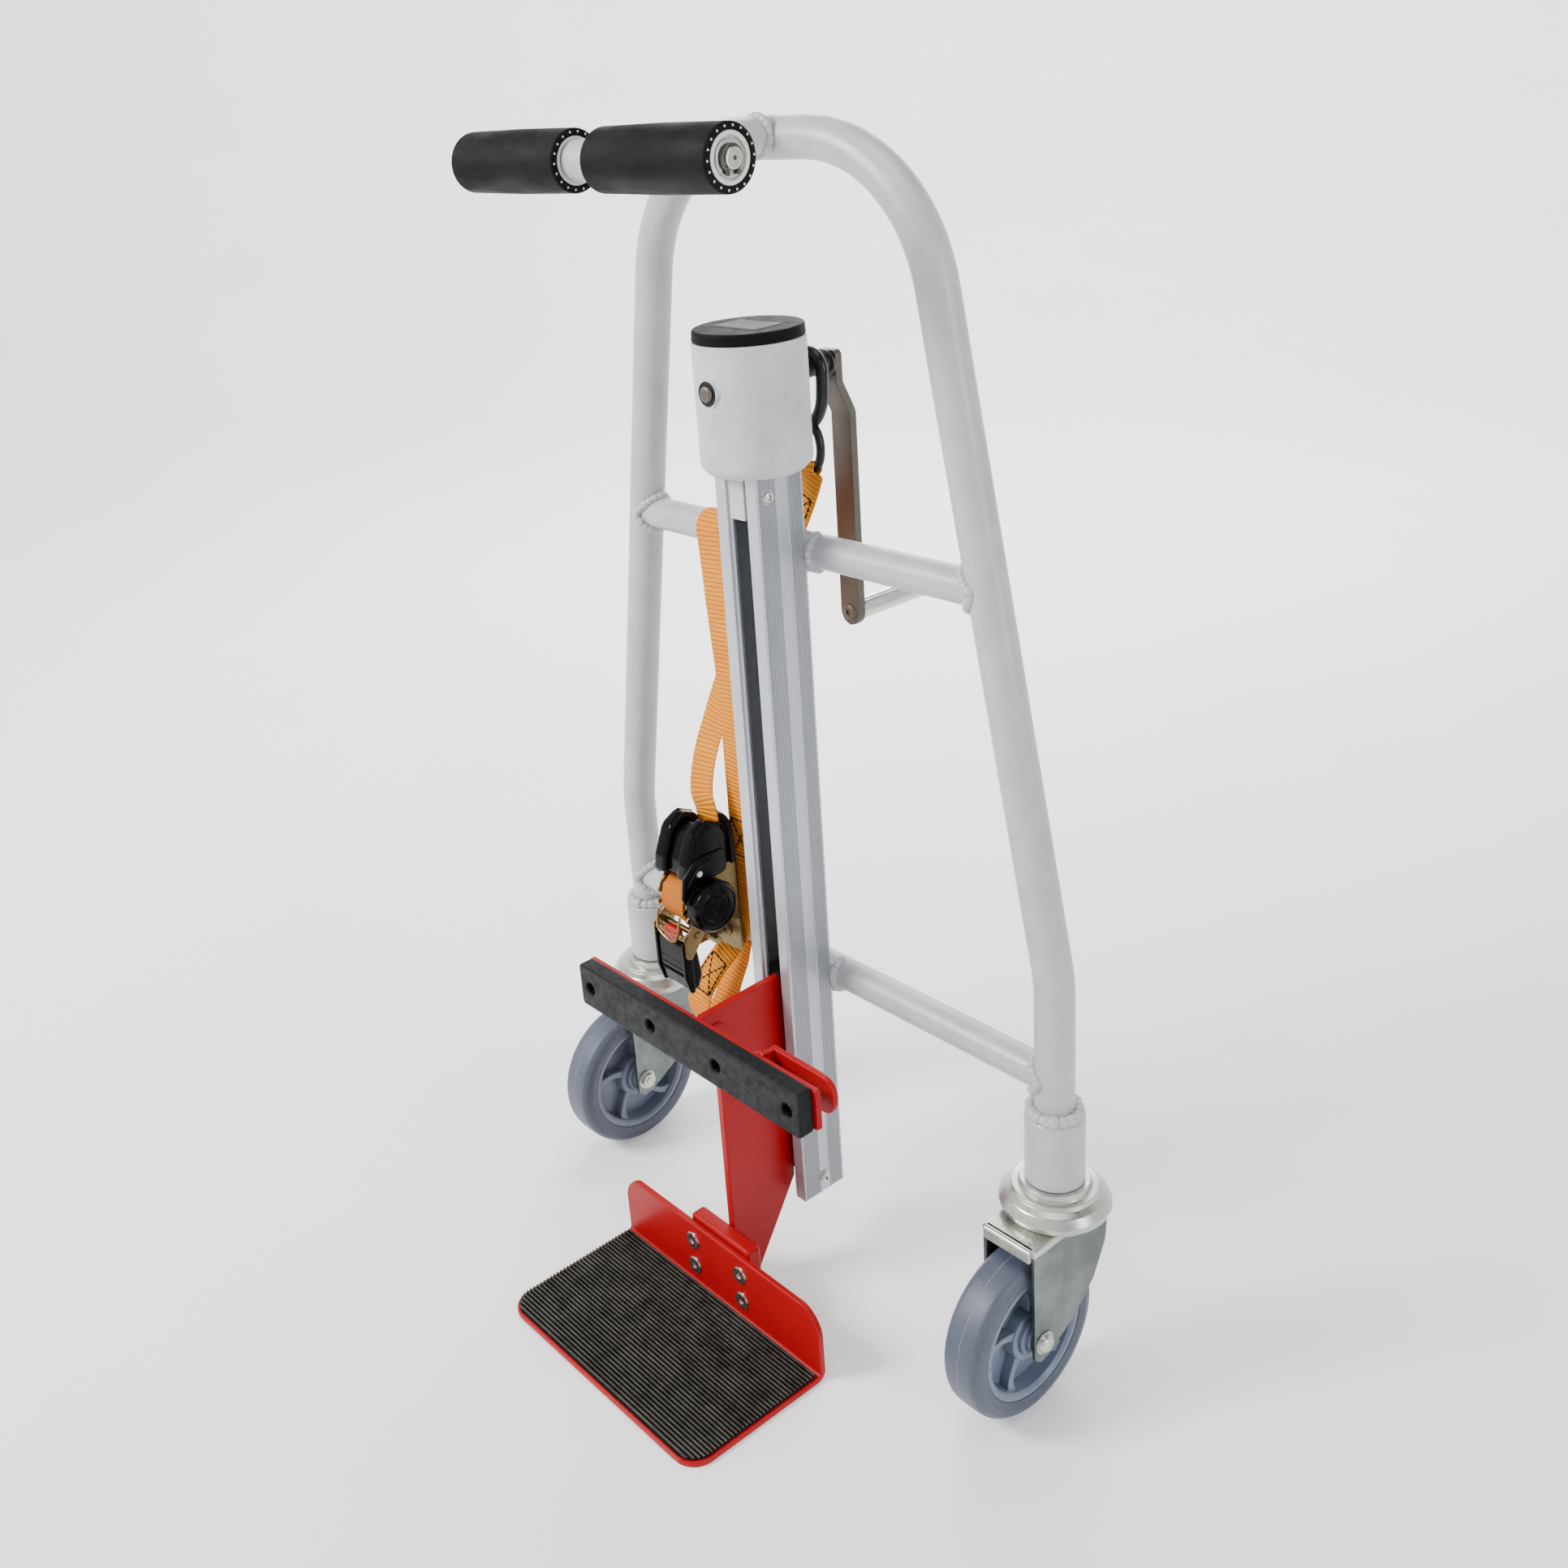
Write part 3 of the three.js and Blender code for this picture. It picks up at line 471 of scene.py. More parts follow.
def frames_along(path, loop=False, hint=(0, 1, 0)):
    """Centre, side and up directions at each point of a path, without twist."""
    path = [Vector(p) for p in path]
    last = len(path) - 1
    side = None
    result = []
    for i, point in enumerate(path):
        before = path[i - 1] if i or loop else path[0]
        after = path[(i + 1) % len(path)] if i < last or loop else path[last]
        along = (after - before).normalized()
        start = Vector(hint) if side is None else side
        if abs(start.dot(along)) > 0.95:
            start = start.yzx
        side = (start - along * start.dot(along)).normalized()
        result.append((point, side, along.cross(side)))
    return result


def swept(path, section, loop=False, hint=(0, 1, 0)):
    """A section of (side, up) points along a path; section may be a function of the step."""
    rings = []
    for i, (point, side, up) in enumerate(frames_along(path, loop, hint)):
        outline = section(i) if callable(section) else section
        rings.append([point + side * a + up * b for a, b in outline])
    return loft(rings, loop)


def tube(path, radius, sides=32, loop=False, hint=(0, 1, 0)):
    return swept(path, circle(0, 0, radius, sides), loop, hint)


def spline(points, steps):
    """A smooth open line through the points."""
    points = [Vector(p) for p in points]
    last = len(points) - 1
    result = []
    for i in range(last):
        p0, p1, p2, p3 = (points[min(max(k, 0), last)] for k in (i - 1, i, i + 1, i + 2))
        for k in range(steps):
            t = k / steps
            result.append(0.5 * ((2 * p1) + (p2 - p0) * t + (2 * p0 - 5 * p1 + 4 * p2 - p3) * t ** 2
                                 + (3 * p1 - p0 - 3 * p2 + p3) * t ** 3))
    return result + [points[last]]


def bead(path, radius, pitch=4.2, seed=1, loop=True):
    """A weld bead: overlapping ripples along a path."""
    path = [Vector(p) for p in path]
    length = sum((path[i] - path[i - 1]).length for i in range(0 if loop else 1, len(path)))
    count = max(12, int(length / pitch) * 8)
    even = resampled(path, count, loop)
    lumps = random.Random(seed)
    sizes = [lumps.uniform(0.85, 1.15) for _ in range(count // 8 + 2)]

    def section(i):
        swell = abs(math.sin(math.pi * i / 8)) ** 0.5
        size = radius * (0.82 + 0.20 * swell) * sizes[i // 8]
        return circle(0, 0, size, 12)

    return swept(even, section, loop)


def resampled(path, count, loop=False):
    path = [Vector(p) for p in path] + ([Vector(path[0])] if loop else [])
    marks = [0.0]
    for a, b in zip(path, path[1:]):
        marks.append(marks[-1] + (b - a).length)
    result = []
    at = 0
    for i in range(count):
        target = marks[-1] * i / (count if loop else count - 1)
        while at < len(marks) - 2 and marks[at + 1] < target:
            at += 1
        span = marks[at + 1] - marks[at] or 1.0
        result.append(path[at].lerp(path[at + 1], min(1.0, (target - marks[at]) / span)))
    return result


def plate(loops, plane, low, high, bevel=0.8):
    """A flat plate with rounded edges: the first loop is its outline, the rest are holes."""
    bevel = min(bevel, (high - low) / 2 - 0.01)
    curve = bpy.data.curves.new("outline", "CURVE")
    curve.dimensions = "2D"
    curve.fill_mode = "BOTH"
    curve.extrude = (high - low) / 2 - bevel
    curve.bevel_depth = bevel
    curve.bevel_resolution = 2
    curve.offset = -bevel
    for loop in loops:
        line = curve.splines.new("POLY")
        line.points.add(len(loop) - 1)
        for spot, (a, b) in zip(line.points, loop):
            spot.co = (a, b, 0, 1)
        line.use_cyclic_u = True
    holder = bpy.data.objects.new("outline", curve)
    bpy.context.scene.collection.objects.link(holder)
    ready = holder.evaluated_get(bpy.context.evaluated_depsgraph_get())
    mesh = bpy.data.meshes.new_from_object(ready)
    flat = [tuple(vertex.co) for vertex in mesh.vertices]
    faces = [tuple(face.vertices) for face in mesh.polygons]
    bpy.data.objects.remove(holder)
    bpy.data.curves.remove(curve)
    bpy.data.meshes.remove(mesh)
    middle = (low + high) / 2
    order = {"XY": lambda a, b, c: (a, b, middle + c), "XZ": lambda a, b, c: (a, middle + c, b),
             "YZ": lambda a, b, c: (middle + c, a, b)}[plane]
    return [Vector(order(*p)) for p in flat], faces, None


def block(low, high, edge=1.5, corner=None):
    """A box with rounded edges all round: low and high corners."""
    (x0, y0, z0), (x1, y1, z1) = low, high
    corner = corner or edge
    outline = fillet([(x0, z0), (x1, z0), (x1, z1), (x0, z1)], corner, 5)
    return plate([outline], "XZ", y0, y1, edge)


def line_steps(line):
    """Each point of a line in a plane, with the direction along the line there."""
    for i, point in enumerate(line):
        before, after = line[max(i - 1, 0)], line[min(i + 1, len(line) - 1)]
        yield point, Vector((after[0] - before[0], after[1] - before[1])).normalized()


def hex_ring(radius, angle):
    """How far a hexagon's side is from its centre in a direction, for its corner radius."""
    part = (angle % (math.pi / 3)) - math.pi / 6
    return radius * math.cos(math.pi / 6) / math.cos(part)


def stacked(steps, axis, centre, reach, loop=False, sides=48):
    """Rings lofted about an axis; reach(size, hexed, angle) is each ring's radius in a direction."""
    rings = []
    for size, along, hexed in steps:
        section = []
        for k in range(sides):
            angle = TAU * k / sides
            far = reach(size, hexed, angle)
            a, b = centre[0] + far * math.cos(angle), centre[1] + far * math.sin(angle)
            section.append(on_axis(axis, along, a, b))
        rings.append(section)
    return loft(rings, loop)


def socket_screw(radius, height, key, centre, axis, low, depth, domed=True):
    """A screw head with a hexagon socket; centre lies in the plane across the axis."""
    way = math.copysign(1, height)
    top = low + height
    steps = [(radius, low, 0), (radius, low + height * 0.25, 0)]
    for t in ((0.25, 0.5, 0.75, 1.0) if domed else (1.0,)):
        angle = t * math.pi / 2
        inward = (radius - key * 1.25) * (1 - math.cos(angle)) if domed else abs(height) * 0.15
        steps.append((radius - inward, low + height * (0.25 + 0.75 * math.sin(angle)), 0))
    steps += [(key * 1.08, top, 0.6), (key, top - way * 0.25, 1), (key * 0.97, top - way * depth, 1),
              (key * 0.3, top - way * (depth + 0.6), 0.5)]

    def reach(size, hexed, angle):
        return size * (1 - hexed) + hex_ring(size, angle) * hexed

    return stacked(steps, axis, centre, reach)


def hex_nut(flat, low, high, axis, centre, bore):
    """A hexagon nut with its corners turned off, and the screw's end in its bore."""
    corner = flat / math.cos(math.pi / 6)
    mid = (low + high) / 2
    steps = [(flat * 0.9, low, 0), (flat, low, 0), (corner, low * 0.82 + mid * 0.18, 1),
             (corner, high * 0.82 + mid * 0.18, 1), (flat, high, 0), (flat * 0.9, high, 0)]

    def reach(size, hexed, angle):
        return hex_ring(size, angle) if hexed else min(size, hex_ring(corner, angle))

    way = math.copysign(1, high - low)
    return merged(stacked(steps, axis, centre, reach),
                  dome(bore, high, high + way * 1.2, axis, centre, 0.6, 32))


def strip(path, half, thick, loop=False, ripple=0.0, seed=0):
    """Webbing along a path, with UVs in metres: across, then along."""
    path = [Vector(p) for p in path]
    if loop:
        path = path + [path[0]]
    edge = [(half - thick / 2 * (1 - math.cos(t)), math.sin(t) * thick / 2)
            for t in (-1.57, -0.7, 0, 0.7, 1.57)]
    columns = 10
    inner = [half - thick - (2 * half - 2 * thick) * k / columns for k in range(columns + 1)]
    section = edge + [(a, thick / 2) for a in inner]
    section += [(-a, -b) for a, b in section]
    rings, uvs = [], []
    run = 0.0
    last = len(path) - 1
    for i, point in enumerate(path):
        before, after = path[max(i - 1, 0)], path[min(i + 1, last)]
        if loop and i in (0, last):
            before, after = path[last - 1], path[1]
        along = (after - before).normalized()
        across = (Vector((1, 0, 0)) - along * along.x).normalized()
        out = along.cross(across)
        run += (point - path[i - 1]).length if i else 0
        calm = min(1, i / 8, (last - i) / 8) * ripple
        wave = calm * noise.noise(Vector((run * 0.03, seed, 0)))
        for a, b in section:
            curl = calm * 0.6 * (a / half) * noise.noise(Vector((run * 0.02, seed + 9, 0)))
            rings.append(point + across * a + out * (b + wave + curl))
            uvs.append((a * MM, run * MM))
    count = len(section)
    grouped = [rings[i * count:(i + 1) * count] for i in range(len(path))]
    shape = loft(grouped)
    return shape[0], shape[1][:-2] if loop else shape[1], uvs


# ---- pieces -------------------------------------------------------------------------------
def piece(name, body, material, *shapes, stands_for=(), slot=None, sharp=34):
    """An object made of shapes on a body, hiding the CAD nodes it stands for; a slot is worked out, given or
    by its material, but not set on the object.
    """
    points, faces, uvs = merged(*shapes)
    work = bmesh.new()
    layer = work.loops.layers.uv.new("UVMap")
    made = [work.verts.new(place(*p)) for p in points]
    for face in faces:
        distinct = list(dict.fromkeys(face))
        if len(distinct) < 3 or work.faces.get([made[i] for i in distinct]):
            continue
        added = work.faces.new([made[i] for i in distinct])
        for loop, i in zip(added.loops, distinct):
            loop[layer].uv = uvs[i]
    bmesh.ops.remove_doubles(work, verts=work.verts, dist=2e-6)
    bmesh.ops.recalc_face_normals(work, faces=work.faces)
    mesh = bpy.data.meshes.new(name)
    work.to_mesh(mesh)
    work.free()
    mesh.polygons.foreach_set("use_smooth", [True] * len(mesh.polygons))
    mesh.set_sharp_from_angle(angle=math.radians(sharp))
    mesh.materials.append(material)
    made_object = bpy.data.objects.new(name, mesh)
    bpy.context.scene.collection.objects.link(made_object)
    weighted = made_object.modifiers.new("even_shading", "WEIGHTED_NORMAL")
    weighted.keep_sharp = True
    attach(made_object, body)
    if stands_for:
        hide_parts(*([stands_for] if isinstance(stands_for, str) else stands_for))
        slot = slot or SLOTS[material]
    return made_object


SIDES = (("left", 1), ("right", -1))


# ---- camera -------------------------------------------------------------------------------
def add_camera():
    """The photograph's right-hand view, a little closer."""
    azimuth, elevation, roll = (math.radians(a) for a in (53.58, 21.3, -5.75))
    zoom, focal, image = 1.35, 1484.8, 1932.0
    data = bpy.data.cameras.new("camera")
    data.sensor_width = 36.0
    data.lens = focal * zoom / image * 36.0
    data.shift_x = (1301 - 1172.8) * zoom / image
    data.shift_y = -(899 - 810.8) * zoom / image
    data.clip_start, data.clip_end = 0.01, 50
    back = Vector((math.sin(azimuth) * math.cos(elevation), -math.cos(azimuth) * math.cos(elevation),
                   math.sin(elevation)))
    flat = Vector((math.cos(azimuth), math.sin(azimuth), 0))
    rise = back.cross(flat)
    right = flat * math.cos(roll) + rise * math.sin(roll)
    up = rise * math.cos(roll) - flat * math.sin(roll)
    turn = Matrix((right, up, back)).transposed().to_4x4()
    eye = bpy.data.objects.new("camera", data)
    eye.matrix_world = Matrix.Translation(place(1004.8, -923.4, 1139.3)) @ turn
    bpy.context.scene.collection.objects.link(eye)
    bpy.context.scene.camera = eye


add_camera()


# ---- bent tube frame ----------------------------------------------------------------------
def leg_line():
    """The left half of the frame's centre line, from the socket up to the top of the hoop."""
    tangent = BEND_R * math.tan(LEAN / 2)
    bend = arc(CASTER_X - BEND_R, BEND_Z - tangent, BEND_R, 0, math.degrees(LEAN), 14)
    radius = (APEX_Z - SHOULDER_Z) / (1 - math.sin(LEAN))
    centre = (SHOULDER_X - radius * math.cos(LEAN), APEX_Z - radius)
    hoop = arc(*centre, radius, math.degrees(LEAN), 90, 22)
    return [(CASTER_X, SOCKET_TOP - 10), (CASTER_X, 330)] + bend + hoop


def leg_x(z):
    return CASTER_X - (max(0, z - BEND_Z) * math.tan(LEAN))


half_line = leg_line()
whole_line = [(x, 0, z) for x, z in half_line] + [(-x, 0, z) for x, z in reversed(half_line)]
piece("frame_tube", "frame", PAINT, tube(whole_line, TUBE, 56),
      stands_for=("leg_left", "leg_right", "hoop_arch"))


def cross_tube(z):
    """A cross tube, weld beads round its ends and beads where it meets the column."""
    reach = leg_x(z)
    lean = LEAN if z > BEND_Z else 0
    pieces = [tube([(-reach, 0, z), (reach, 0, z)], CROSS, 48)]
    for side in (1, -1):
        seam = []
        for k in range(48):
            angle = TAU * k / 48
            y, rise = (CROSS + 1.6) * math.cos(angle), (CROSS + 1.6) * math.sin(angle)
            x = reach - math.sqrt(TUBE ** 2 - min(y, TUBE) ** 2) / math.cos(lean) - rise * math.tan(lean)
            seam.append((side * (x - 1.6), y, z + rise))
        pieces.append(bead(seam, 4.3, 5.6, seed=int(z) + side))
        collar = [(side * (COL_HALF + 1.5), (CROSS + 0.4) * a, z + (CROSS + 0.4) * b)
                  for a, b in arc(0, 0, 1, 95, 265, 24)]
        pieces.append(bead(collar, 4.4, 5.6, seed=int(z) + side * 3, loop=False))
        along = [(x, -12.4, z + side * 11.4) for x in (-COL_HALF, 0, COL_HALF)]
        pieces.append(bead(along, 4.4, 5.2, seed=int(z) + side * 5, loop=False))
    return pieces


for level, z in zip(("upper", "lower"), CROSS_Z):
    piece(f"cross_rail_{level}", "frame", PAINT, *cross_tube(z),
          stands_for=f"cross_tube_{level}")

for side, sign in SIDES:
    x = sign * CASTER_X
    profile = fillet([(10.6, SOCKET_LOW), (SOCKET_R, SOCKET_LOW, 1.2), (SOCKET_R, SOCKET_TOP - 5, 2),
                      (SOCKET_R - 5, SOCKET_TOP, 1.5), (10.6, SOCKET_TOP)], 0.6)
    seam = [(a, b, SOCKET_TOP + 0.2) for a, b in circle(x, 0, TUBE + 3.2, 60)]
    piece(f"caster_collar_{side}", "frame", PAINT, turned(profile, "Z", (x, 0)),
          bead(seam, 5.4, 7.0, seed=8 + sign), stands_for=f"caster_socket_{side}")

# ---- push handle --------------------------------------------------------------------------
seam = [(a, -TUBE - 1.2, PUSH_Z + b) for a, b in circle(0, 0, CROSS + 0.3, 48)]
tee = ring(ROLLER_R * 0.34, 15.4, -ROLLER_IN + 0.7, ROLLER_IN - 0.7, "X", (PUSH_Y, PUSH_Z), 1.0)
arm = tube([(0, 0, PUSH_Z), (0, PUSH_Y, PUSH_Z)], CROSS, 48, hint=(1, 0, 0))
piece("push_handle_tube", "frame", PAINT, arm, bead(seam, 3.4, 5.4, seed=4), tee, stands_for="push_tube")
piece("push_handle_collar", "frame", ZINC, ring(CROSS + 0.3, 20.5, -156, -135, "Y", (0, PUSH_Z), 1.6),
      stands_for="push_collar")

axle_end = ROLLER_OUT + 4
axle = fillet([(0, -axle_end), (7.5, -axle_end, 1.5), (7.5, axle_end, 1.5), (0, axle_end)], 0.01)
piece("roller_shaft", "frame", BRIGHT, turned(axle, "X", (PUSH_Y, PUSH_Z), 48),
      stands_for="roller_axle", slot="steel")
for side, sign in SIDES:
    low, high = sorted((sign * ROLLER_IN, sign * ROLLER_OUT))
    axis_spot = (PUSH_Y, PUSH_Z)
    body = f"roller_{side}"
    barrel = fillet([(17.8, low), (ROLLER_R - 0.6, low, 3.4), (ROLLER_R, (low + high) / 2, 1),
                     (ROLLER_R - 0.6, high, 3.4), (17.8, high)], 0.8, 6)
    piece(f"roller_sleeve_{side}", body, FOAM, turned(barrel, "X", axis_spot, 96), stands_for=body)
    bush = ring(14.4, 17.7, low + 0.3, high - 0.3, "X", axis_spot, 0.9)
    piece(f"roller_bearing_{side}", body, CREAM, bush)
    hub = [ring(7.6, 12.6, low + 0.6, high - 0.6, "X", axis_spot, 0.9),
           ring(12.4, 14.6, low + 2.4, high - 2.4, "X", axis_spot, 0.3)]
    piece(f"roller_hub_{side}", body, BRIGHT, *hub)
    marks = []
    for end in (low + 0.35, high - 0.35):
        way = 1 if end > (low + high) / 2 else -1
        for a, b in circle(PUSH_Y, PUSH_Z, 20.6, 18):
            marks.append(dome(0.95, end - way * 0.3, end + way * 0.4, "X", (a, b), 0.3, 12))
    piece(f"roller_end_marks_{side}", body, CREAM, *marks)
    tip = sign * (ROLLER_OUT + 4.2)
    dimple = dome(1.7, tip - sign * 0.6, tip, "X", axis_spot, 0.4, 24)
    piece(f"roller_shaft_centre_{side}", "frame", GREASED, dimple)
    clip = tube([(sign * (ROLLER_OUT + 1.4), y, z) for y, z in arc(*axis_spot, 8.7, -60, 240, 36)], 0.9, 10,
                hint=(1, 0, 0))
    ears = [dome(1.9, sign * (ROLLER_OUT + 0.7), sign * (ROLLER_OUT + 2.2), "X", spot, 0.4, 16)
            for spot in arc(*axis_spot, 10.4, -62, 242, 1)]
    piece(f"roller_circlip_{side}", "frame", GREASED, clip, *ears)

# ---- lift column --------------------------------------------------------------------------
RIB_BANDS = ((-65.4, -45.2), (-32.4, -17.4))
RIB_PITCH = 2.1


def column_outline():
    """The extrusion's section: a lipped recess, ribbed sides with a flat band, and a hollow core."""
    half = [(OPEN_HALF, SLOT_BACK_Y), (OPEN_HALF, RECESS_Y + 0.4), (OPEN_HALF + 0.4, RECESS_Y),
            (RECESS_HALF - 0.6, RECESS_Y), (RECESS_HALF, RECESS_Y - 0.6)]
    half += arc(RECESS_HALF + 1.3, COL_FRONT + 1.3, 1.3, 180, 270, 5)
    half += arc(COL_HALF - 2, COL_FRONT + 2, 2, -90, 0, 6)
    for start, end in RIB_BANDS:
        for k in range(int((end - start) / RIB_PITCH)):
            y = start + k * RIB_PITCH
            half += [(COL_HALF, y), (COL_HALF - 1.1, y + 0.4), (COL_HALF - 1.1, y + 1.1), (COL_HALF, y + 1.5)]
        if end < -40:
            half += [(COL_HALF, end), (COL_HALF - 0.8, end + 0.6), (COL_HALF - 0.8, RIB_BANDS[1][0] - 1.4),
                     (COL_HALF, RIB_BANDS[1][0] - 0.8)]
    half += arc(COL_HALF - 1.4, COL_BACK - 1.4, 1.4, 0, 90, 5)
    inside = COL_HALF - 4
    core = [(-inside, SLOT_BACK_Y), (-inside, COL_BACK - 4), (inside, COL_BACK - 4), (inside, SLOT_BACK_Y)]
    return half + [(-x, y) for x, y in reversed(half)] + core


piece("column_extrusion", "frame", ALUMINIUM, plate([column_outline()], "XY", COL_LOW, COL_TOP, 0.12),
      stands_for="lift_column", sharp=30)
for level, y, z in (("upper", -56.0, 788.0), ("lower", SCREW_Y, 95.0)):
    heads = []
    for sign in (1, -1):
        heads.append(socket_screw(5.5, sign * 3.4, 2.0, (y, z), "X", sign * (COL_HALF + 0.2), 2.2))
        low, high = sorted((sign * (COL_HALF - 0.5), sign * (COL_HALF + 0.35)))
        heads.append(ring(3.4, 6.6, low, high, "X", (y, z), 0.2, 40))
    shank = turned([(0, -COL_HALF), (3, -COL_HALF), (3, COL_HALF), (0, COL_HALF)], "X", (y, z), 24)
    piece(f"column_screw_{level}", "frame", BRIGHT, *heads, shank,
          stands_for=f"column_bolt_{level}")
insert = plate([fillet([(-9, SLOT_TOP), (9, SLOT_TOP), (9, COL_TOP - 1), (-9, COL_TOP - 1)], 1.5)], "XZ",
               RECESS_Y - 2, SLOT_BACK_Y, 0.6)
piece("slot_top_insert", "frame", HEAD_PAINT, insert, stands_for="slot_insert")

# ---- gear head ----------------------------------------------------------------------------
axis_at = (0, SCREW_Y)
cup = fillet([(12, HEAD_LOW), (HEAD_R - 7, HEAD_LOW, 4), (HEAD_R, HEAD_LOW + 7, 7), (HEAD_R, HEAD_TOP, 1.2),
              (42, HEAD_TOP, 0.6), (42, HEAD_LOW + 8, 1), (12, HEAD_LOW + 8, 0.5)], 1, 6)
boss_back = ring(SHAFT_R + 0.4, 17, SCREW_Y + HEAD_R - 4, SCREW_Y + HEAD_R + 1.6, "Y", (0, CRANK_Z), 1.2)
hex_out = SCREW_Y - HEAD_R
rim_steps = [(13.4, hex_out + 3.5, 1), (12.5, hex_out - 0.9, 1), (10.6, hex_out - 1.1, 1),
             (9.9, hex_out + 1.2, 1)]
hex_rim = stacked(rim_steps, "Y", (0, CRANK_Z), lambda size, _, angle: hex_ring(size, angle), loop=True)
piece("head_housing", "frame", HEAD_PAINT, turned(cup, "Z", axis_at, 128), boss_back, hex_rim,
      stands_for="gear_head")
cap_low, cap_high = HEAD_TOP + 0.3, HEAD_TOP + 9.8
cap = fillet([(0, cap_low), (46.5, cap_low, 0.8), (46.5, cap_high, 2.6), (0, cap_high)], 0.01, 6)
lip_groove = ring(45.2, 46.9, cap_low + 1.2, cap_low + 2.8, "Z", axis_at, 0.6, 128)
piece("head_cap", "frame", CAP_BLACK, turned(cap, "Z", axis_at, 128), lip_groove,
      stands_for="gear_head_cap")
badge = block((-26, SCREW_Y - 15, cap_high - 0.4), (26, SCREW_Y + 15, cap_high + 0.55), 0.4)
piece("cap_blank_plate", "frame", PLATE, badge)

# ---- crank --------------------------------------------------------------------------------
shaft_low = SCREW_Y - 38
shaft = fillet([(0, shaft_low), (SHAFT_R, shaft_low, 0.8), (SHAFT_R, ARM_Y + ARM_THICK + 3, 1.4),
                (0, ARM_Y + ARM_THICK + 3)], 0.01)
washer = ring(SHAFT_R + 0.1, 12.2, ARM_Y - 2.2, ARM_Y - 0.1, "Y", (0, CRANK_Z), 0.5)
piece("crank_axle", "crank", STEEL, turned(shaft, "Y", (0, CRANK_Z), 48), washer,
      stands_for="crank_shaft")
piece("crank_end_screw", "crank", STEEL, dome(6.9, hex_out - 0.3, hex_out - 4.2, "Y", (0, CRANK_Z), 2.6, 48),
      stands_for="shaft_end_screw", slot="zinc")
# A black ring between the end screw and the hex rim: painted shade for the dark gap in the recess.
gap_shade_ring = ring(7.4, 10.4, hex_out - 1.3, hex_out + 0.1, "Y", (0, CRANK_Z), 0.1, 48)
piece("end_screw_gap_shade", "frame", BLACK_STEEL, gap_shade_ring)


def crank_arm():
    """A flat bar with a jog and round ends, lofted through sections across its middle line."""
    near, far = ARM_Y + ARM_THICK / 2, ARM_OUT - ARM_THICK / 2
    half = ARM_WIDE / 2
    middle = [(near, CRANK_Z + half - 0.02)]
    middle += [(near, CRANK_Z + half - d) for d in (0.3, 0.8, 1.6, 2.8, 4.5, 6.5, 9, 12)]
    middle += [p for p in fillet([(near, CRANK_Z + 90), (near, CRANK_Z - 16, 12), (far, CRANK_Z - 44, 12),
                                  (far, GRIP_Z - 90)], 10, 8) if CRANK_Z - 70 < p[1] < CRANK_Z - 1]
    middle += [(far, GRIP_Z - half + d) for d in (12, 9, 6.5, 4.5, 2.8, 1.6, 0.8, 0.3, 0.02)]
    rings = []
    for (y, z), along in line_steps(middle):
        out = Vector((along.y, -along.x))
        gap = max(GRIP_Z - z, 0)
        clip = max(0, 3.2 - (CRANK_Z + half - z))
        wide = math.sqrt(max(half ** 2 - gap ** 2, 0.4)) - clip
        edge = min(1.6, wide * 0.5)
        section = fillet([(-wide, -ARM_THICK / 2), (wide, -ARM_THICK / 2), (wide, ARM_THICK / 2),
                          (-wide, ARM_THICK / 2)], edge, 4)
        rings.append([(a, y + out.x * b, z + out.y * b) for a, b in section])
    return loft(rings)


piece("crank_handle_arm", "crank", STEEL, crank_arm(), stands_for="crank_arm")
pin_end = ARM_OUT + 1 + 91
pin_low = ARM_OUT - ARM_THICK - 1
pin = fillet([(0, pin_low), (6, pin_low), (6, pin_end + 0.5), (9, pin_end + 0.5, 0.6),
              (8.6, pin_end + 3, 1.2), (0, pin_end + 3)], 0.2)
piece("crank_grip_pin", "crank", STEEL, turned(pin, "Y", (0, GRIP_Z), 48),
      socket_screw(7.6, -2.6, 2.6, (0, GRIP_Z), "Y", ARM_OUT - ARM_THICK + 0.2, 1.9),
      stands_for="grip_pin")
sleeve = fillet([(6.4, ARM_OUT + 1), (9.2, ARM_OUT + 1, 0.8), (10, ARM_OUT + 5, 1.5), (10, pin_end - 4, 1.5),
                 (9.2, pin_end, 0.8), (6.4, pin_end)], 0.4)
piece("crank_grip_sleeve", "grip", CHROME, turned(sleeve, "Y", (0, GRIP_Z), 72),
      stands_for="crank_grip")

# ---- lifting carriage ---------------------------------------------------------------------
web_outline = fillet([(-59.8, 96), (-59.8, 324), (-157.4, BUMPER_TOP, 1), (-157.4, BUMPER_LOW, 3),
                      (-142, 240, 30), (-142, 4, 2), (-119, 4, 4)], 5, 6)
boss = [dome(8.5, 3.6, 6.2, "X", (-141, 302), 2.2, 48), dome(8.5, -3.6, -6.2, "X", (-141, 302), 2.2, 48)]
piece("carriage_web_plate", "carriage", RED, plate([web_outline], "YZ", -4, 4, 1.3), *boss,
      stands_for="carriage_web")

bar_mid = (BUMPER_LOW + BUMPER_TOP) / 2
back_outline = fillet([(-BUMPER_HALF, BUMPER_LOW), (BUMPER_HALF, BUMPER_LOW), (BUMPER_HALF, BUMPER_TOP),
                       (-BUMPER_HALF, BUMPER_TOP)], 3, 6)
piece("bumper_back_plate", "carriage", RED, plate([back_outline], "XZ", BUMPER_BACK - 6, BUMPER_BACK, 1.2),
      stands_for="bumper_plate")
BOLT_X = (-138, -46, 46, 138)
pad_back, pad_front = BUMPER_BACK - 6.3, BUMPER_BACK - 22.3
pad_half = BUMPER_HALF - 4
pad_outline = fillet([(-pad_half, BUMPER_LOW - 2.5), (pad_half, BUMPER_LOW - 2.5), (pad_half, BUMPER_TOP + 3),
                      (-pad_half, BUMPER_TOP + 3)], 5, 6)
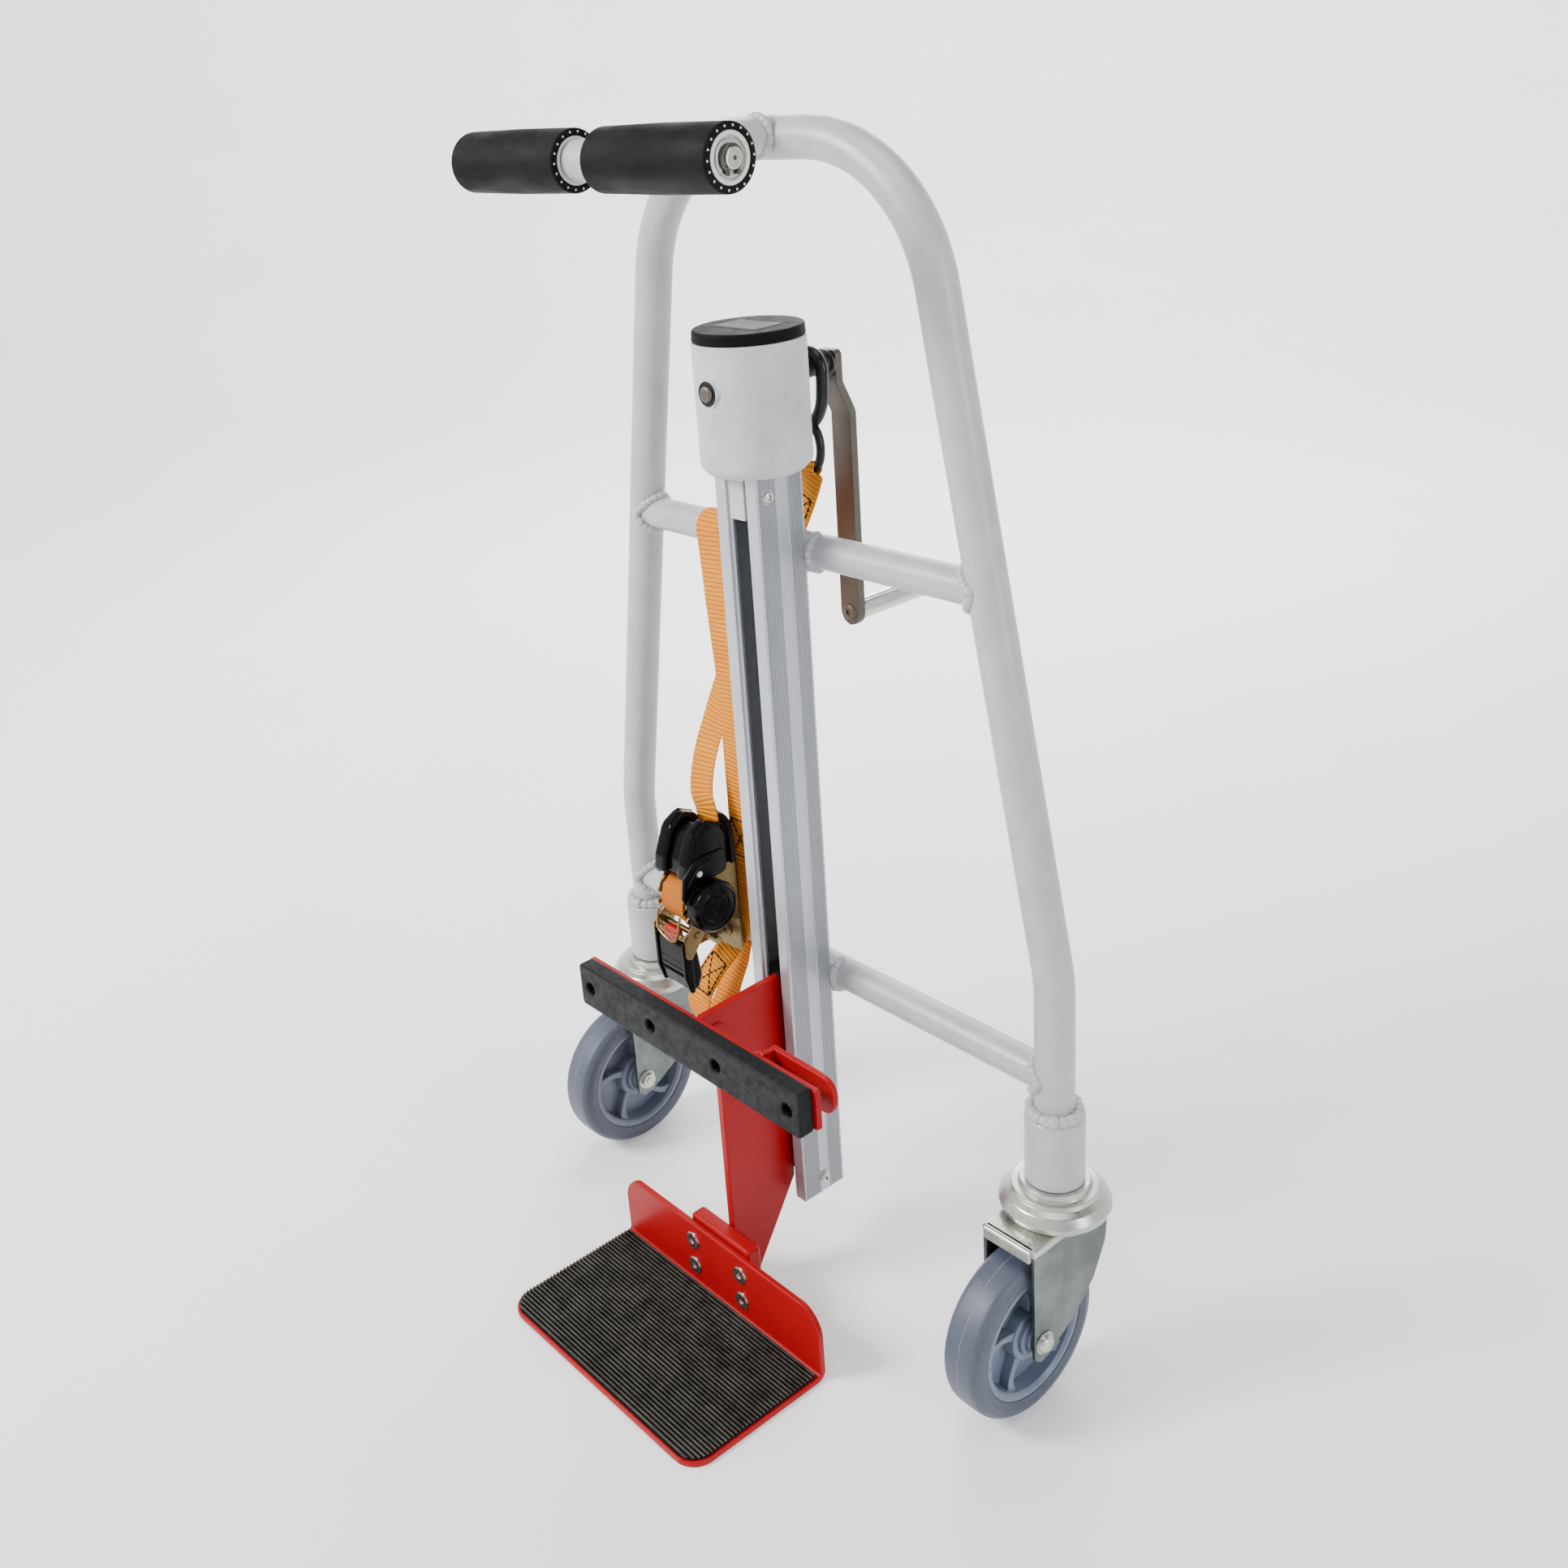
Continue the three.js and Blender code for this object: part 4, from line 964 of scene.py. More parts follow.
pad_holes = [circle(x, bar_mid, 6.3, 40) for x in BOLT_X]
piece("bumper_pad", "carriage", BUMPER, plate([pad_outline] + pad_holes, "XZ", pad_front, pad_back, 2.2),
      stands_for="bumper_rubber")
bolts = [socket_screw(5.2, -3.2, 2.4, (x, bar_mid), "Y", pad_back - 6.5, 2.0) for x in BOLT_X]
seats = [ring(1.5, 6.1, pad_back - 6.5, pad_back - 5.2, "Y", (x, bar_mid), 0.3, 40) for x in BOLT_X]
piece("bumper_bolts", "carriage", BLACK_STEEL, *bolts, *seats)
nuts = [hex_nut(6.2, BUMPER_BACK + 0.1, BUMPER_BACK + 5.2, "Y", (x, bar_mid), 3.2)
        for x in BOLT_X if abs(x) < 50]
bracket_outline = fillet([(80, 285, 2), (158, 285, 18.5), (158, 322, 18.5), (80, 322, 2)], 1, 14)
bracket = plate([bracket_outline], "XZ", -144, -138, 1.6)
bracket_wall = block((80, BUMPER_BACK - 1, 285.5), (86, -139, 321.5), 1.6)
weld_y = BUMPER_BACK + 0.5
weld_path = [(79.4, weld_y, 287), (79.4, weld_y, 321), (83, weld_y, 322.4), (88, weld_y, 322)]
bracket_weld = bead(weld_path, 2.8, 5, seed=21, loop=False)
spacer = ring(3, 5.4, BUMPER_BACK + 0.1, -144, "Y", (138, bar_mid), 0.4, 40)
screw_end = hex_nut(5.2, BUMPER_BACK + 0.1, BUMPER_BACK + 4.2, "Y", (-138, bar_mid), 2.6)
piece("bumper_nuts", "carriage", BRIGHT, *nuts, spacer, screw_end)
piece("strap_bracket", "carriage", RED, bracket, bracket_wall, bracket_weld)


def bent_plate():
    """The foot plate: its flange, the bend and the tread, as sections along the sheet's middle."""
    middle_y, middle_z, bend = FOOT_BACK - SHEET / 2, SHEET / 2, 7.0
    line = [(middle_y, FLANGE_TOP - d, d) for d in (0.01, 0.5, 1.2, 2.5, 4.5, 7, 10, 14, 19, 24, 28, 40, 55)]
    line += [(y, z, 99) for y, z in arc(middle_y - bend, middle_z + bend, bend, 0, -90, 10)]
    reach = FOOT_FRONT
    line += [(reach + d, middle_z, d) for d in (140, 100, 60, 24, 20, 16, 12, 8.5, 5.5, 3, 1.5, 0.6, 0.01)]
    rings = []
    for i, ((y, z, distance), along) in enumerate(line_steps(line)):
        out = Vector((along.y, -along.x))
        corner = 28.0 if i < 14 else 24.0
        inside = max(corner - distance, 0)
        wide = FOOT_HALF - corner + math.sqrt(max(corner ** 2 - inside ** 2, 0.0))
        edge = min(1.6, SHEET / 2 - 0.05)
        thin = SHEET / 2 if distance > 1.3 else SHEET / 2 - 1.2 + distance * 0.9
        section = fillet([(-wide, -thin), (wide, -thin), (wide, thin), (-wide, thin)], edge, 4)
        rings.append([(a, y + out.x * b, z + out.y * b) for a, b in section])
    return loft(rings)


piece("foot_plate_sheet", "carriage", RED, bent_plate(), stands_for="foot_plate")
mount = block((-42, FOOT_BACK + 0.3, 20), (42, -142.3, FLANGE_TOP + 6), 2.5, 6)
piece("foot_mount_block", "carriage", RED, mount, stands_for="foot_block")


def ribbed_mat():
    """A rubber mat with ribs along X and the plate's rounded front corners; its UVs hold the ribs' height."""
    half, back, front, base = FOOT_HALF - 2.5, FOOT_BACK - 10, FOOT_FRONT + 2.5, SHEET + 0.15
    count = int((back - front) / 4.1)
    pitch = (back - front) / count
    rib_top, front_corner, back_corner = 3.15, 21.0, 4.0
    rib = ((0.02, 0.6), (0.34, 0.6), (0.42, 2.6), (0.5, rib_top), (0.82, rib_top), (0.92, 2.6))
    rows = [(front + (i + t) * pitch, height) for i in range(count) for t, height in rib]
    rings, uvs = [], []
    for y, height in rows:
        near = min(y - front, back - y)
        radius = front_corner if y - front < front_corner else back_corner
        inside = max(radius - near, 0)
        wide = half - radius + math.sqrt(max(radius ** 2 - inside ** 2, 0.04))
        xs = [wide * (k / 20 - 1) for k in range(41)]
        top = [(x, y, base + height) for x in xs]
        rings.append(top + [(wide, y, base), (-wide, y, base)])
        uvs += [(height / rib_top, 0)] * len(top) + [(0, 0)] * 2
    return loft(rings, uvs=uvs)


piece("foot_tread_mat", "carriage", MAT, ribbed_mat(), stands_for="foot_mat", sharp=50)
for side, x in (("left", 34.5), ("right", -34.5)):
    for level, z in (("upper", 54), ("lower", 24)):
        seat = FOOT_BACK - SHEET
        head = socket_screw(8.2, -1.7, 3.1, (x, z), "Y", seat + 0.1, 1.4, domed=False)
        piece(f"flange_bolt_{level}_{side}", "carriage", BRIGHT, head,
              ring(7.6, 9.2, seat - 0.25, seat + 0.3, "Y", (x, z), 0.15, 48),
              stands_for=f"flange_screw_{level}_{side}")

# ---- casters ------------------------------------------------------------------------------
SPOKES = 5


def curved_spoke(index):
    """A raised rib from the hub to the rim, swept back a little as it goes out."""
    start = 360 / SPOKES * index + 12
    line = []
    for k in range(9):
        t = k / 8
        angle, reach = math.radians(start + 16 * t * t), 20 + 36 * t
        line.append((reach * math.cos(angle), reach * math.sin(angle)))
    rings = []
    for k, ((a, b), along) in enumerate(line_steps(line)):
        wide = 3.1 + 2.2 * abs(k / 8 - 0.5) ** 2 * 4
        section = fillet([(-wide, -13), (wide, -13), (wide, 13), (-wide, 13)], 1.4, 4)
        rings.append([(high, a - along.y * across, b + along.x * across) for across, high in section])
    return loft(rings)


def wheel_rim(x, axle):
    wall = fillet([(RIM_R, -18), (RIM_R, 18), (56.6, 18, 1.4), (54.2, 15.5, 2), (52.4, 4, 3), (52.4, -4, 3),
                   (54.2, -15.5, 2), (56.6, -18, 1.4)], 0.6, 5)
    raised = [turned(wall, "X", axle, 144), ring(5.6, 12.5, -22, 22, "X", axle, 1.2, 64),
              ring(12.3, 17.6, -18.5, 18.5, "X", axle, 1.4, 72),
              ring(17.2, 24.5, -15, 15, "X", axle, 2.2, 96), ring(16, 55, -3, 3, "X", axle, 0.4, 120)]
    spokes = [shifted(curved_spoke(i), 0, *axle) for i in range(SPOKES)]
    return [shifted(s, x) for s in raised + spokes]


def tyre(x, axle):
    w = WHEEL_W / 2
    half = [(RIM_R + 0.3, -w + 1.6, 0.8), (63.5, -w + 0.9, 1), (68, -w, 3), (74.5, -w + 1.4, 6),
            (79, -w + 6, 7), (79.8, -w + 13, 6)]
    profile = fillet(half + [(p[0], -p[1], *p[2:]) for p in reversed(half)], 1, 6)
    return [shifted(turned(profile, "X", axle, 144), x)]


def mould_line(x, axle, seed):
    """The ragged flash line round the middle of the tread."""
    line = []
    for k in range(360):
        angle = TAU * k / 360
        sway = 1.3 * noise.noise(Vector((math.cos(angle) * 11, math.sin(angle) * 11, seed)))
        rise = 79.62 + 0.14 * noise.noise(Vector((math.cos(angle) * 30, math.sin(angle) * 30, seed)))
        line.append((x + sway, axle[0] + rise * math.cos(angle), axle[1] + rise * math.sin(angle)))
    return swept(line, circle(0, 0, 0.28, 8), True, (1, 0, 0))


def caster_head(x):
    base = 182.3
    profile = fillet([(0, base), (42, base, 1), (47.6, base + 4, 3), (48, base + 9, 4),
                      (43.5, base + 16.5, 5), (37.6, base + 20.2, 1.2), (36.8, base + 23.4, 1.2),
                      (31, base + 23.8, 1), (30, 212, 1), (10, 212), (10, 272), (0, 272)], 0.6, 5)
    skirt = ring(34, 40, 178.6, 182.3, "Z", (x, 0), 1.0, 96)
    return [turned(profile, "Z", (x, 0), 96), skirt]


def caster_fork(x):
    """Two wide pressed cheeks, the plate between them and its down-turned lip at the front."""
    outline = fillet([(38, 179, 3), (-61.5, 179, 2), (-61.5, 66, 5), (-54, 60, 5), (-44, 62, 6), (-6, 84, 10),
                      (18, 108, 22), (34, 140, 20)], 3, 7)
    cheek = plate([outline, circle(-TRAIL, WHEEL_R, 5.4, 24)], "YZ", 24.05, 27.9, 0.9)
    rings = []
    for y, inset in ((-62, 0.9), (-61.6, 0.3), (-60.8, 0), (-30, 0), (0, 0), (30, 0), (37.2, 0), (38, 0.3),
                     (38.4, 0.9)):
        high, wide, low, thin = 182 - inset, 28 - inset, 177.4 + inset, 23.9 + inset
        outer = fillet([(-wide, 175.5), (-wide, high, 5), (wide, high, 5), (wide, 175.5)], 0.1, 7)
        inner = fillet([(thin, 175.5), (thin, low, 1.2), (-thin, low, 1.2), (-thin, 175.5)], 0.1, 7)
        rings.append([(a, y, b) for a, b in outer + inner])
    drop = fillet([(-58, 182), (-65.2, 182, 5), (-65.2, 170), (-61.4, 170), (-61.4, 178, 2), (-58, 178)],
                  0.8, 6)
    bridge = merged(loft(rings), plate([drop], "YZ", -24.6, 24.6, 0.8))
    return [shifted(s, x) for s in (cheek, mirrored(cheek), bridge)]


for side, sign in SIDES:
    x = sign * CASTER_X
    axle = (-TRAIL, WHEEL_R)
    body = f"caster_{side}"
    piece(f"caster_swivel_{side}", body, ZINC, *caster_head(x), stands_for=f"caster_head_{side}")
    *fork_cheeks, bridge = caster_fork(x)
    # The fork's cheeks take the darker zinc copy, painted shade; the bridge on top takes the lighter zinc.
    piece(f"caster_yoke_{side}", body, SHADED_ZINC, *fork_cheeks, stands_for=f"caster_fork_{side}")
    piece(f"caster_bridge_{side}", body, ZINC, bridge, slot="zinc")
    seat = 28.1
    bolt = dome(8.6, x + sign * seat, x + sign * (seat + 5.8), "X", axle, 4.6, 48)
    slot_bar = ring(2.2, 3.4, *sorted((x + sign * (seat + 5.3), x + sign * (seat + 6.0))), "X", axle, 0.3, 32)
    nut = hex_nut(7.6, x - sign * seat, x - sign * (seat + 5.4), "X", axle, 4.4)
    washers = [ring(4.8, 10.6, *sorted((x + way * (seat - 0.3), x + way * (seat + 1.1))), "X", axle, 0.4, 48)
               for way in (1, -1)]
    shank = turned([(0, x - 28), (5, x - 28), (5, x + 28), (0, x + 28)], "X", axle, 32)
    piece(f"caster_axle_bolt_{side}", body, ZINC, bolt, slot_bar, nut, *washers, shank,
          stands_for=f"caster_axle_{side}")
    spin = f"wheel_{side}"
    piece(f"wheel_centre_{side}", spin, RIM, *wheel_rim(x, axle), stands_for=f"wheel_rim_{side}")
    piece(f"wheel_tread_{side}", spin, TYRE, *tyre(x, axle), stands_for=f"wheel_tyre_{side}")
    piece(f"tread_mould_line_{side}", spin, FLASH, mould_line(x, axle, sign))

# ---- ratchet ------------------------------------------------------------------------------
hub_at = (RY, RZ)


def yz_plate(points, low, high, bevel, radius=3, holes=()):
    """A plate across X at the ratchet: its outline in the YZ plane with rounded corners."""
    return plate([fillet(points, radius, 6), *holes], "YZ", RX + low, RX + high, bevel)


hub_hole = circle(*hub_at, 7.4, 32)
right_cheek = [(-28, 299, 2), (-56, 299, 10), (-64, 310, 4), (-60, 326, 6), (-76, 345, 12), (-90, 358, 12),
               (-92, 384, 10), (-80, 403, 4), (-28, 403, 2)]
left_cheek = [(-28, 336, 2), (-44, 340, 10), (-70, 352, 14), (-90, 360, 12), (-92, 384, 10), (-80, 403, 4),
              (-28, 403, 2)]
slots = [fillet([(-40, 330), (-36, 330), (-36, 352), (-40, 352)], 1.6, 4),
         fillet([(-58, 388), (-44, 392), (-44, 397), (-60, 396)], 1.6, 4)]
near_cheek = yz_plate(right_cheek, -22, -20.2, 0.5, 3, [hub_hole, *slots])
far_cheek = yz_plate(left_cheek, 20.2, 22, 0.5, 3, [hub_hole])
back_outline = fillet([(RX - 22, 299), (RX + 22, 299), (RX + 22, 440), (RX - 22, 440)], 6, 6)
back_holes = [circle(RX, 424, 4.2, 32), circle(RX, 318, 4.2, 32)]
back = plate([back_outline, *back_holes], "XZ", -30, -27.6, 0.5)
embossed = [ring(4.3, 8.5, -31.2, -29.4, "Y", (RX, z), 0.7, 48) for z in (424, 318)]
low_pin = turned([(0, RX - 22), (3.8, RX - 22), (3.8, RX + 4), (0, RX + 4)], "X", (-44, 311), 32)
pin_head = dome(5.4, RX - 21.8, RX - 24.4, "X", (-44, 311), 1.8, 32)
piece("ratchet_frame", "frame", GOLD, near_cheek, low_pin, pin_head, stands_for="ratchet_base")
# The back plate and far cheek take the darker copy of the yellow zinc: painted shade.
piece("ratchet_back_plate", "frame", SHADED_GOLD, back, far_cheek, *embossed, slot="yellow_zinc")

hood_sides = [(-40, 404, 2), (-40, 436, 6), (-47, 449, 8), (-62, 456, 10), (-80, 447, 14), (-92, 418, 8),
              (-94, 402, 3), (-70, 402, 4)]
channel_sides = [(-40, 404, 2), (-40, 432, 6), (-50, 443, 8), (-62, 448, 10), (-76, 440, 14), (-86, 417, 8),
                 (-88, 402, 3), (-70, 402, 4)]
hood = [yz_plate(hood_sides, -25, -8, 4), yz_plate(hood_sides, 9, 25, 4), yz_plate(channel_sides, -12, 13, 2)]
ridge_line = [(-46, 446.5), (-61, 454), (-78, 445), (-89.5, 417)]
ridges = [tube([(RX + a, y, z) for y, z in ridge_line], 2.4, 16, hint=(1, 0, 0)) for a in (-20, 21)]
cheek_arm = yz_plate([(-44, 424, 8), (-82, 424, 10), (-98, 408, 6), (-101, 388, 5),
                      *arc(*hub_at, 27.8, 164, 66, 10), (-44, 398, 8)], 23.5, 27, 1.5, 0.6)
arm_line = [(RX + 26.4, y, z) for y, z in ((-66, 418), (-84, 411), (-95, 398))]
arm_ridge = tube(arm_line, 2.4, 16, hint=(1, 0, 0))
left_arm = yz_plate([(-44, 424, 8), (-80, 424, 10), (-94, 404, 6), (-88, 396, 4), (-44, 398, 8)],
                    -26, -22, 1.6)
guide_ring = fillet([(RX - 24, 400), (RX + 24, 400), (RX + 24, 450, 20), (RX - 24, 450, 20)], 4, 10)
guide_hole = fillet([(RX - 17.5, 410), (RX + 17.5, 410), (RX + 17.5, 443, 14), (RX - 17.5, 443, 14)], 3, 10)
guide = plate([guide_ring, guide_hole], "XZ", -36.5, -29.6, 2.2)
piece("retractor_cover", "frame", BLACK, *hood, *ridges, cheek_arm, arm_ridge, left_arm, guide,
      stands_for="retractor_hood")
piece("cover_pin", "frame", CREAM, dome(3.1, RX + 26.4, RX + 29.0, "X", (-79, 408), 1.0, 24),
      dome(3.1, RX - 25.4, RX - 27.6, "X", (-76, 410), 1.0, 24))

cover = fillet([(0, RX + 24.9), (26, RX + 24.9, 1), (26, RX + 37.4, 3.2), (22, RX + 40.8, 1.4),
                (20.6, RX + 39.8, 0.6), (19.2, RX + 40.6, 0.8), (14.6, RX + 41, 0.8), (13.4, RX + 40, 0.6),
                (12.2, RX + 40.8, 0.8), (6.4, RX + 41, 0.8), (5.2, RX + 39.6, 0.6), (0, RX + 39.6)], 0.3, 4)
grips = []
for k in range(9):
    angle = TAU * k / 9
    spot = (RY + 25.3 * math.cos(angle), RZ + 25.3 * math.sin(angle))
    grips.append(dome(1.5, RX + 27, RX + 36, "X", spot, 1.0, 16))
core = [(0, RX - 28), (7, RX - 28), (7, RX + 25), (0, RX + 25)]
piece("spool_cover", "ratchet_spool", BLACK, turned(cover, "X", hub_at, 120),
      turned(core, "X", hub_at, 48), *grips, stands_for="ratchet_arbor")
piece("spool_rivet", "ratchet_spool", STEEL, dome(10.5, RX - 26.6, RX - 30.6, "X", hub_at, 2.2, 64),
      ring(3.2, 6.4, RX - 31.0, RX - 30.2, "X", hub_at, 0.3, 48))


def toothed_wheel(low, high):
    teeth, points = 13, []
    for k in range(teeth):
        start = 360 * k / teeth
        points += arc(*hub_at, 22.6, start, start + 13, 3) + arc(*hub_at, 27.6, start + 16, start + 25, 3)
    return plate([fillet(points, 0.7, 3), hub_hole], "YZ", RX + low, RX + high, 0.4)


piece("ratchet_wheels", "ratchet_spool", GOLD, toothed_wheel(-19.8, -17.2), toothed_wheel(17.2, 19.8))

lever_cheek = arc(*hub_at, 13, 20, 170, 14) + [(-92, 352, 8), (-101, 346, 4), (-101, 322, 6), (-94, 318, 4),
                                             (-84, 330, 8), (-62, 356, 12)]
lever_parts = [yz_plate(lever_cheek, low, high, 0.5, 1.0, [hub_hole])
               for low, high in ((-25.4, -23.4), (22.2, 23.2))]
lever_parts += [turned([(0, RX - 25), (3, RX - 25), (3, RX + 24), (0, RX + 24)], "X", spot, 32)
                for spot in ((-97, 341), (-84, 341))]
lever_parts += [dome(4.4, RX + end, RX + end + way * 1.8, "X", (-84, 341), 1.2, 24)
                for end, way in ((-25.4, -1), (23.2, 1))]
wire = [(RX + x, y, z) for x, y, z in ((-16, -99, 364), (-16, -101, 356), (-15, -103, 346), (-6, -104, 340),
                                      (8, -104, 338), (15, -103, 345), (16, -101, 356), (16, -99, 364))]
lever_parts.append(tube(spline(wire, 6), 1.5, 14, hint=(0, 0, 1)))
piece("ratchet_handle_sides", "ratchet_handle", GOLD, *lever_parts, stands_for="ratchet_lever")
grip_side = [(-101, 336, 4), (-101, 304, 10), (-96, 283, 5), (-86, 281.5, 4), (-80, 296, 10), (-83, 318, 10),
             (-86, 336, 4)]
grip_body = yz_plate(grip_side, -21, 21, 3.2)
grip_ridges = [tube([(RX + x, -100.6 + k * 0.25, 300 + k * 7) for x in (-15, 15)], 1.2, 12, hint=(0, 0, 1))
               for k in range(3)]
grip_lips = [yz_plate([(-103, 338), (-103, 300), (-97, 281), (-92, 281), (-92, 338)], low, high, 1.2, 3)
             for low, high in ((-22.4, -18.4), (18.4, 22.4))]
piece("ratchet_handle_grip", "ratchet_handle", BLACK, grip_body, *grip_ridges, *grip_lips,
      stands_for="ratchet_lever_grip")
tab_side = [(-101, 330), (-92, 328), (-90, 346), (-99, 349)]
piece("release_tab", "ratchet_handle", REDMARK, yz_plate(tab_side, -11, 9, 2.2, 3.5))
roll = []
for k in range(7):
    inner = 7.4 + k * 2.52
    low, high = RX - 16.3 + 0.3 * (k % 2), RX + 16.3 - 0.3 * (k % 3)
    roll.append(ring(inner, inner + 2.2, low, high, "X", hub_at, 0.7, 96))
piece("wound_strap", "ratchet_spool", WEB, *roll, stands_for="strap_roll")

# ---- straps -------------------------------------------------------------------------------
WRAP = CROSS + 0.4 + STRAP_THICK / 2


def smoothstep(value, low, high):
    t = min(max((value - low) / (high - low), 0), 1)
    return t * t * (3 - 2 * t)


def sling_line():
    hanging = ((-16.3, 700), (-18, 560), (-19, 400), (-20, 330), (-24, 299), (-46, 268), (-62, 238),
               (-52, 213), (-28, 226), (-8, 268))
    slack = spline([(0, y, z) for y, z in hanging], 10)
    top = [(0, y, z) for y, z in arc(0, CROSS_Z[0], WRAP, 0, 175, 18)]
    low = [(0, y, z) for y, z in arc(0, CROSS_Z[1], WRAP + 1.5, 262, 360, 12)]
    line = [(0, WRAP, 560), (0, WRAP, 640)] + top + [tuple(p) for p in slack] + low + [(0, WRAP + 1, 380),
                                                                                      (0, WRAP, 470)]
    result = []
    for _, y, z in line:
        behind = smoothstep(y, -15, 15)
        drop = CROSS_Z[0] - max(z, 290)
        swing = 36 * smoothstep(372 - z, 0, 130)
        x = -103 + (1 - behind) * (min(16, max(0, drop * 0.09)) - swing) - behind * max(0, drop) * 0.06
        result.append(Vector((x, y, z)))
    return result


sling = resampled(sling_line(), 260, True)
piece("orange_sling", "frame", WEB, strip(sling, STRAP_HALF, STRAP_THICK, True, ripple=1.2, seed=3),
      stands_for="strap_sling", sharp=60)
hook_points = [(-6, 24, 790), (-16, 23, 766), (-33, 20.5, 731), (-64, 15, 670), (-90, 8, 625), (-108, 0, 580),
               (-122.5, -8, 540), (-122.5, -27, 500), (-118, -38, 470), (-111, -39.5, 452), (-109, -39, 428)]
hook_line = resampled(spline(hook_points, 10), 160)
piece("orange_hook_strap", "frame", WEB, strip(hook_line, STRAP_HALF, STRAP_THICK, ripple=0.8, seed=11),
      stands_for="strap_hook_run", sharp=60)


def surface_point(line, index, across, lift):
    """A point on the strap's face: a place along it, a distance across it and a height off it."""
    low = int(index)
    here = line[low].lerp(line[min(low + 1, len(line) - 1)], index - low)
    along = (line[min(low + 2, len(line) - 1)] - line[max(low - 2, 0)]).normalized()
    side = (Vector((1, 0, 0)) - along * along.x).normalized()
    return here + side * across + along.cross(side) * lift


def stitches(line, marks, lift):
    """Thread stitches along polylines of (step along the strap, distance across it)."""
    stitch_pitch, thread = 4.2 * 1.35, 0.72
    made = []
    for a, b in zip(marks, marks[1:]):
        start, end = surface_point(line, *a, lift), surface_point(line, *b, lift)
        count = max(1, int((end - start).length / stitch_pitch))
        for k in range(count):
            ends = [(k + 0.12) / count, (k + 0.5) / count, (k + 0.88) / count]
            spots = []
            for t, sink in zip(ends, (-0.5, 0.1, -0.5)):
                mark = (a[0] + (b[0] - a[0]) * t, a[1] + (b[1] - a[1]) * t)
                spots.append(surface_point(line, *mark, lift + sink))
            made.append(tube(spots, thread, 8, hint=(0.3, 0.2, 0.9)))
    return made


def nearest(line, y, z):
    return min(range(len(line)), key=lambda i: (line[i].y - y) ** 2 + (line[i].z - z) ** 2)


def cross_stitch(line, middle, reach, face):
    """A stitched box with a cross in it."""
    a, b = middle - reach, middle + reach
    edge = STRAP_HALF - 3.4
    box_marks = [(a, -edge), (b, -edge), (b, edge), (a, edge), (a, -edge)]
    shapes = []
    for marks in (box_marks, [(a, -edge), (b, edge)], [(a, edge), (b, -edge)]):
        shapes += stitches(line, marks, face * (STRAP_THICK / 2 + 0.45))
    return shapes


step_mm = (sling[1] - sling[0]).length
lower_mark = nearest(sling, -46, 268)
upper_mark = nearest(sling, -19, 420)
back_mark = nearest(sling, WRAP, 660)
sewn = []
for mark in (lower_mark, upper_mark, back_mark):
    for face in (1, -1):
        sewn += cross_stitch(sling, mark, 19 / step_mm, face)
piece("sling_stitching", "frame", THREAD, *sewn)
hook_step = (hook_line[1] - hook_line[0]).length
sewn = []
for face in (1, -1):
    sewn += cross_stitch(hook_line, 26 / hook_step + 6, 16 / hook_step, face)
piece("hook_strap_stitching", "frame", THREAD, *sewn)
fold = [surface_point(hook_line, i, 0, -(STRAP_THICK + 0.25)) for i in range(1, int(78 / hook_step))]
fold_back = strip(fold, STRAP_HALF - 0.3, STRAP_THICK * 0.9, seed=5)
eye_turn = [(-4, y, z) for y, z in arc(HOOK_Y, 791, 5.4, -75, 255, 20)]
piece("hook_strap_fold", "frame", WEB, fold_back, strip(eye_turn, STRAP_HALF - 8, STRAP_THICK * 0.9, seed=6),
      slot="webbing", sharp=60)

# ---- snap hook ----------------------------------------------------------------------------
curl_z = CRANK_Z - (CURL - WIRE - SHAFT_R - 0.3)
hook_path = [(x, HOOK_Y, z) for x, z in arc(0, curl_z, CURL + 1, 205, -10, 22)]
hook_path += [(13.6, HOOK_Y, 851), (8, HOOK_Y, 838), (-1, HOOK_Y, 829)]
hook_even = resampled(spline(hook_path, 4), 80)


def hook_section(i):
    size = (WIRE + 0.9) * (0.6 + 0.4 * smoothstep(i / 79, 0, 0.14))
    return circle(0, 0, size, 24)


eye_path = [(-2 + 10.4 * math.cos(t), HOOK_Y + 0.4, 809 + 18.5 * math.sin(t))
            for t in (TAU * k / 56 for k in range(56))]
neck = turned(fillet([(0, 822), (7.2, 822, 1), (7.2, 833, 2.5), (0, 833)], 0.01), "Z", (-2, HOOK_Y), 40)
lug = dome(4.6, HOOK_Y - 3.4, HOOK_Y + 3.4, "Y", (-14.5, 828), 1.2, 32)
arm = tube([(-14.5, HOOK_Y, 828), (-2, HOOK_Y, 828)], 3.2, 20)
piece("hook_body", "frame", BLACK_STEEL, swept(hook_even, hook_section),
      tube(eye_path, 3.9, 20, True), neck, lug, arm, stands_for="snap_hook")
rivet = turned(fillet([(0, HOOK_Y - 4.6), (2.4, HOOK_Y - 4.6, 0.8), (2.4, HOOK_Y + 4.6, 0.8),
                       (0, HOOK_Y + 4.6)], 0.1), "Y", (-14.5, 828), 24)
gate = tube([(-14.5, HOOK_Y, 829), (-14.8, HOOK_Y, 845), (-13.6, HOOK_Y, 861)], 2.5, 20)
piece("hook_keeper", "hook_gate", BRIGHT, gate, rivet, stands_for="hook_gate")

# ---- blank stickers on the column's back --------------------------------------------------
def sticker(name, material, low, high, half):
    outline = fillet([(-half, low), (half, low), (half, high), (-half, high)], 3, 5)
    piece(name, "frame", material, plate([outline], "XZ", COL_BACK - 0.05, COL_BACK + 0.2, 0.05))


sticker("blank_sticker_large", YELLOW, 538, 698, 20)
sticker("blank_sticker_small", GREY_STICKER, 460, 510, 17)

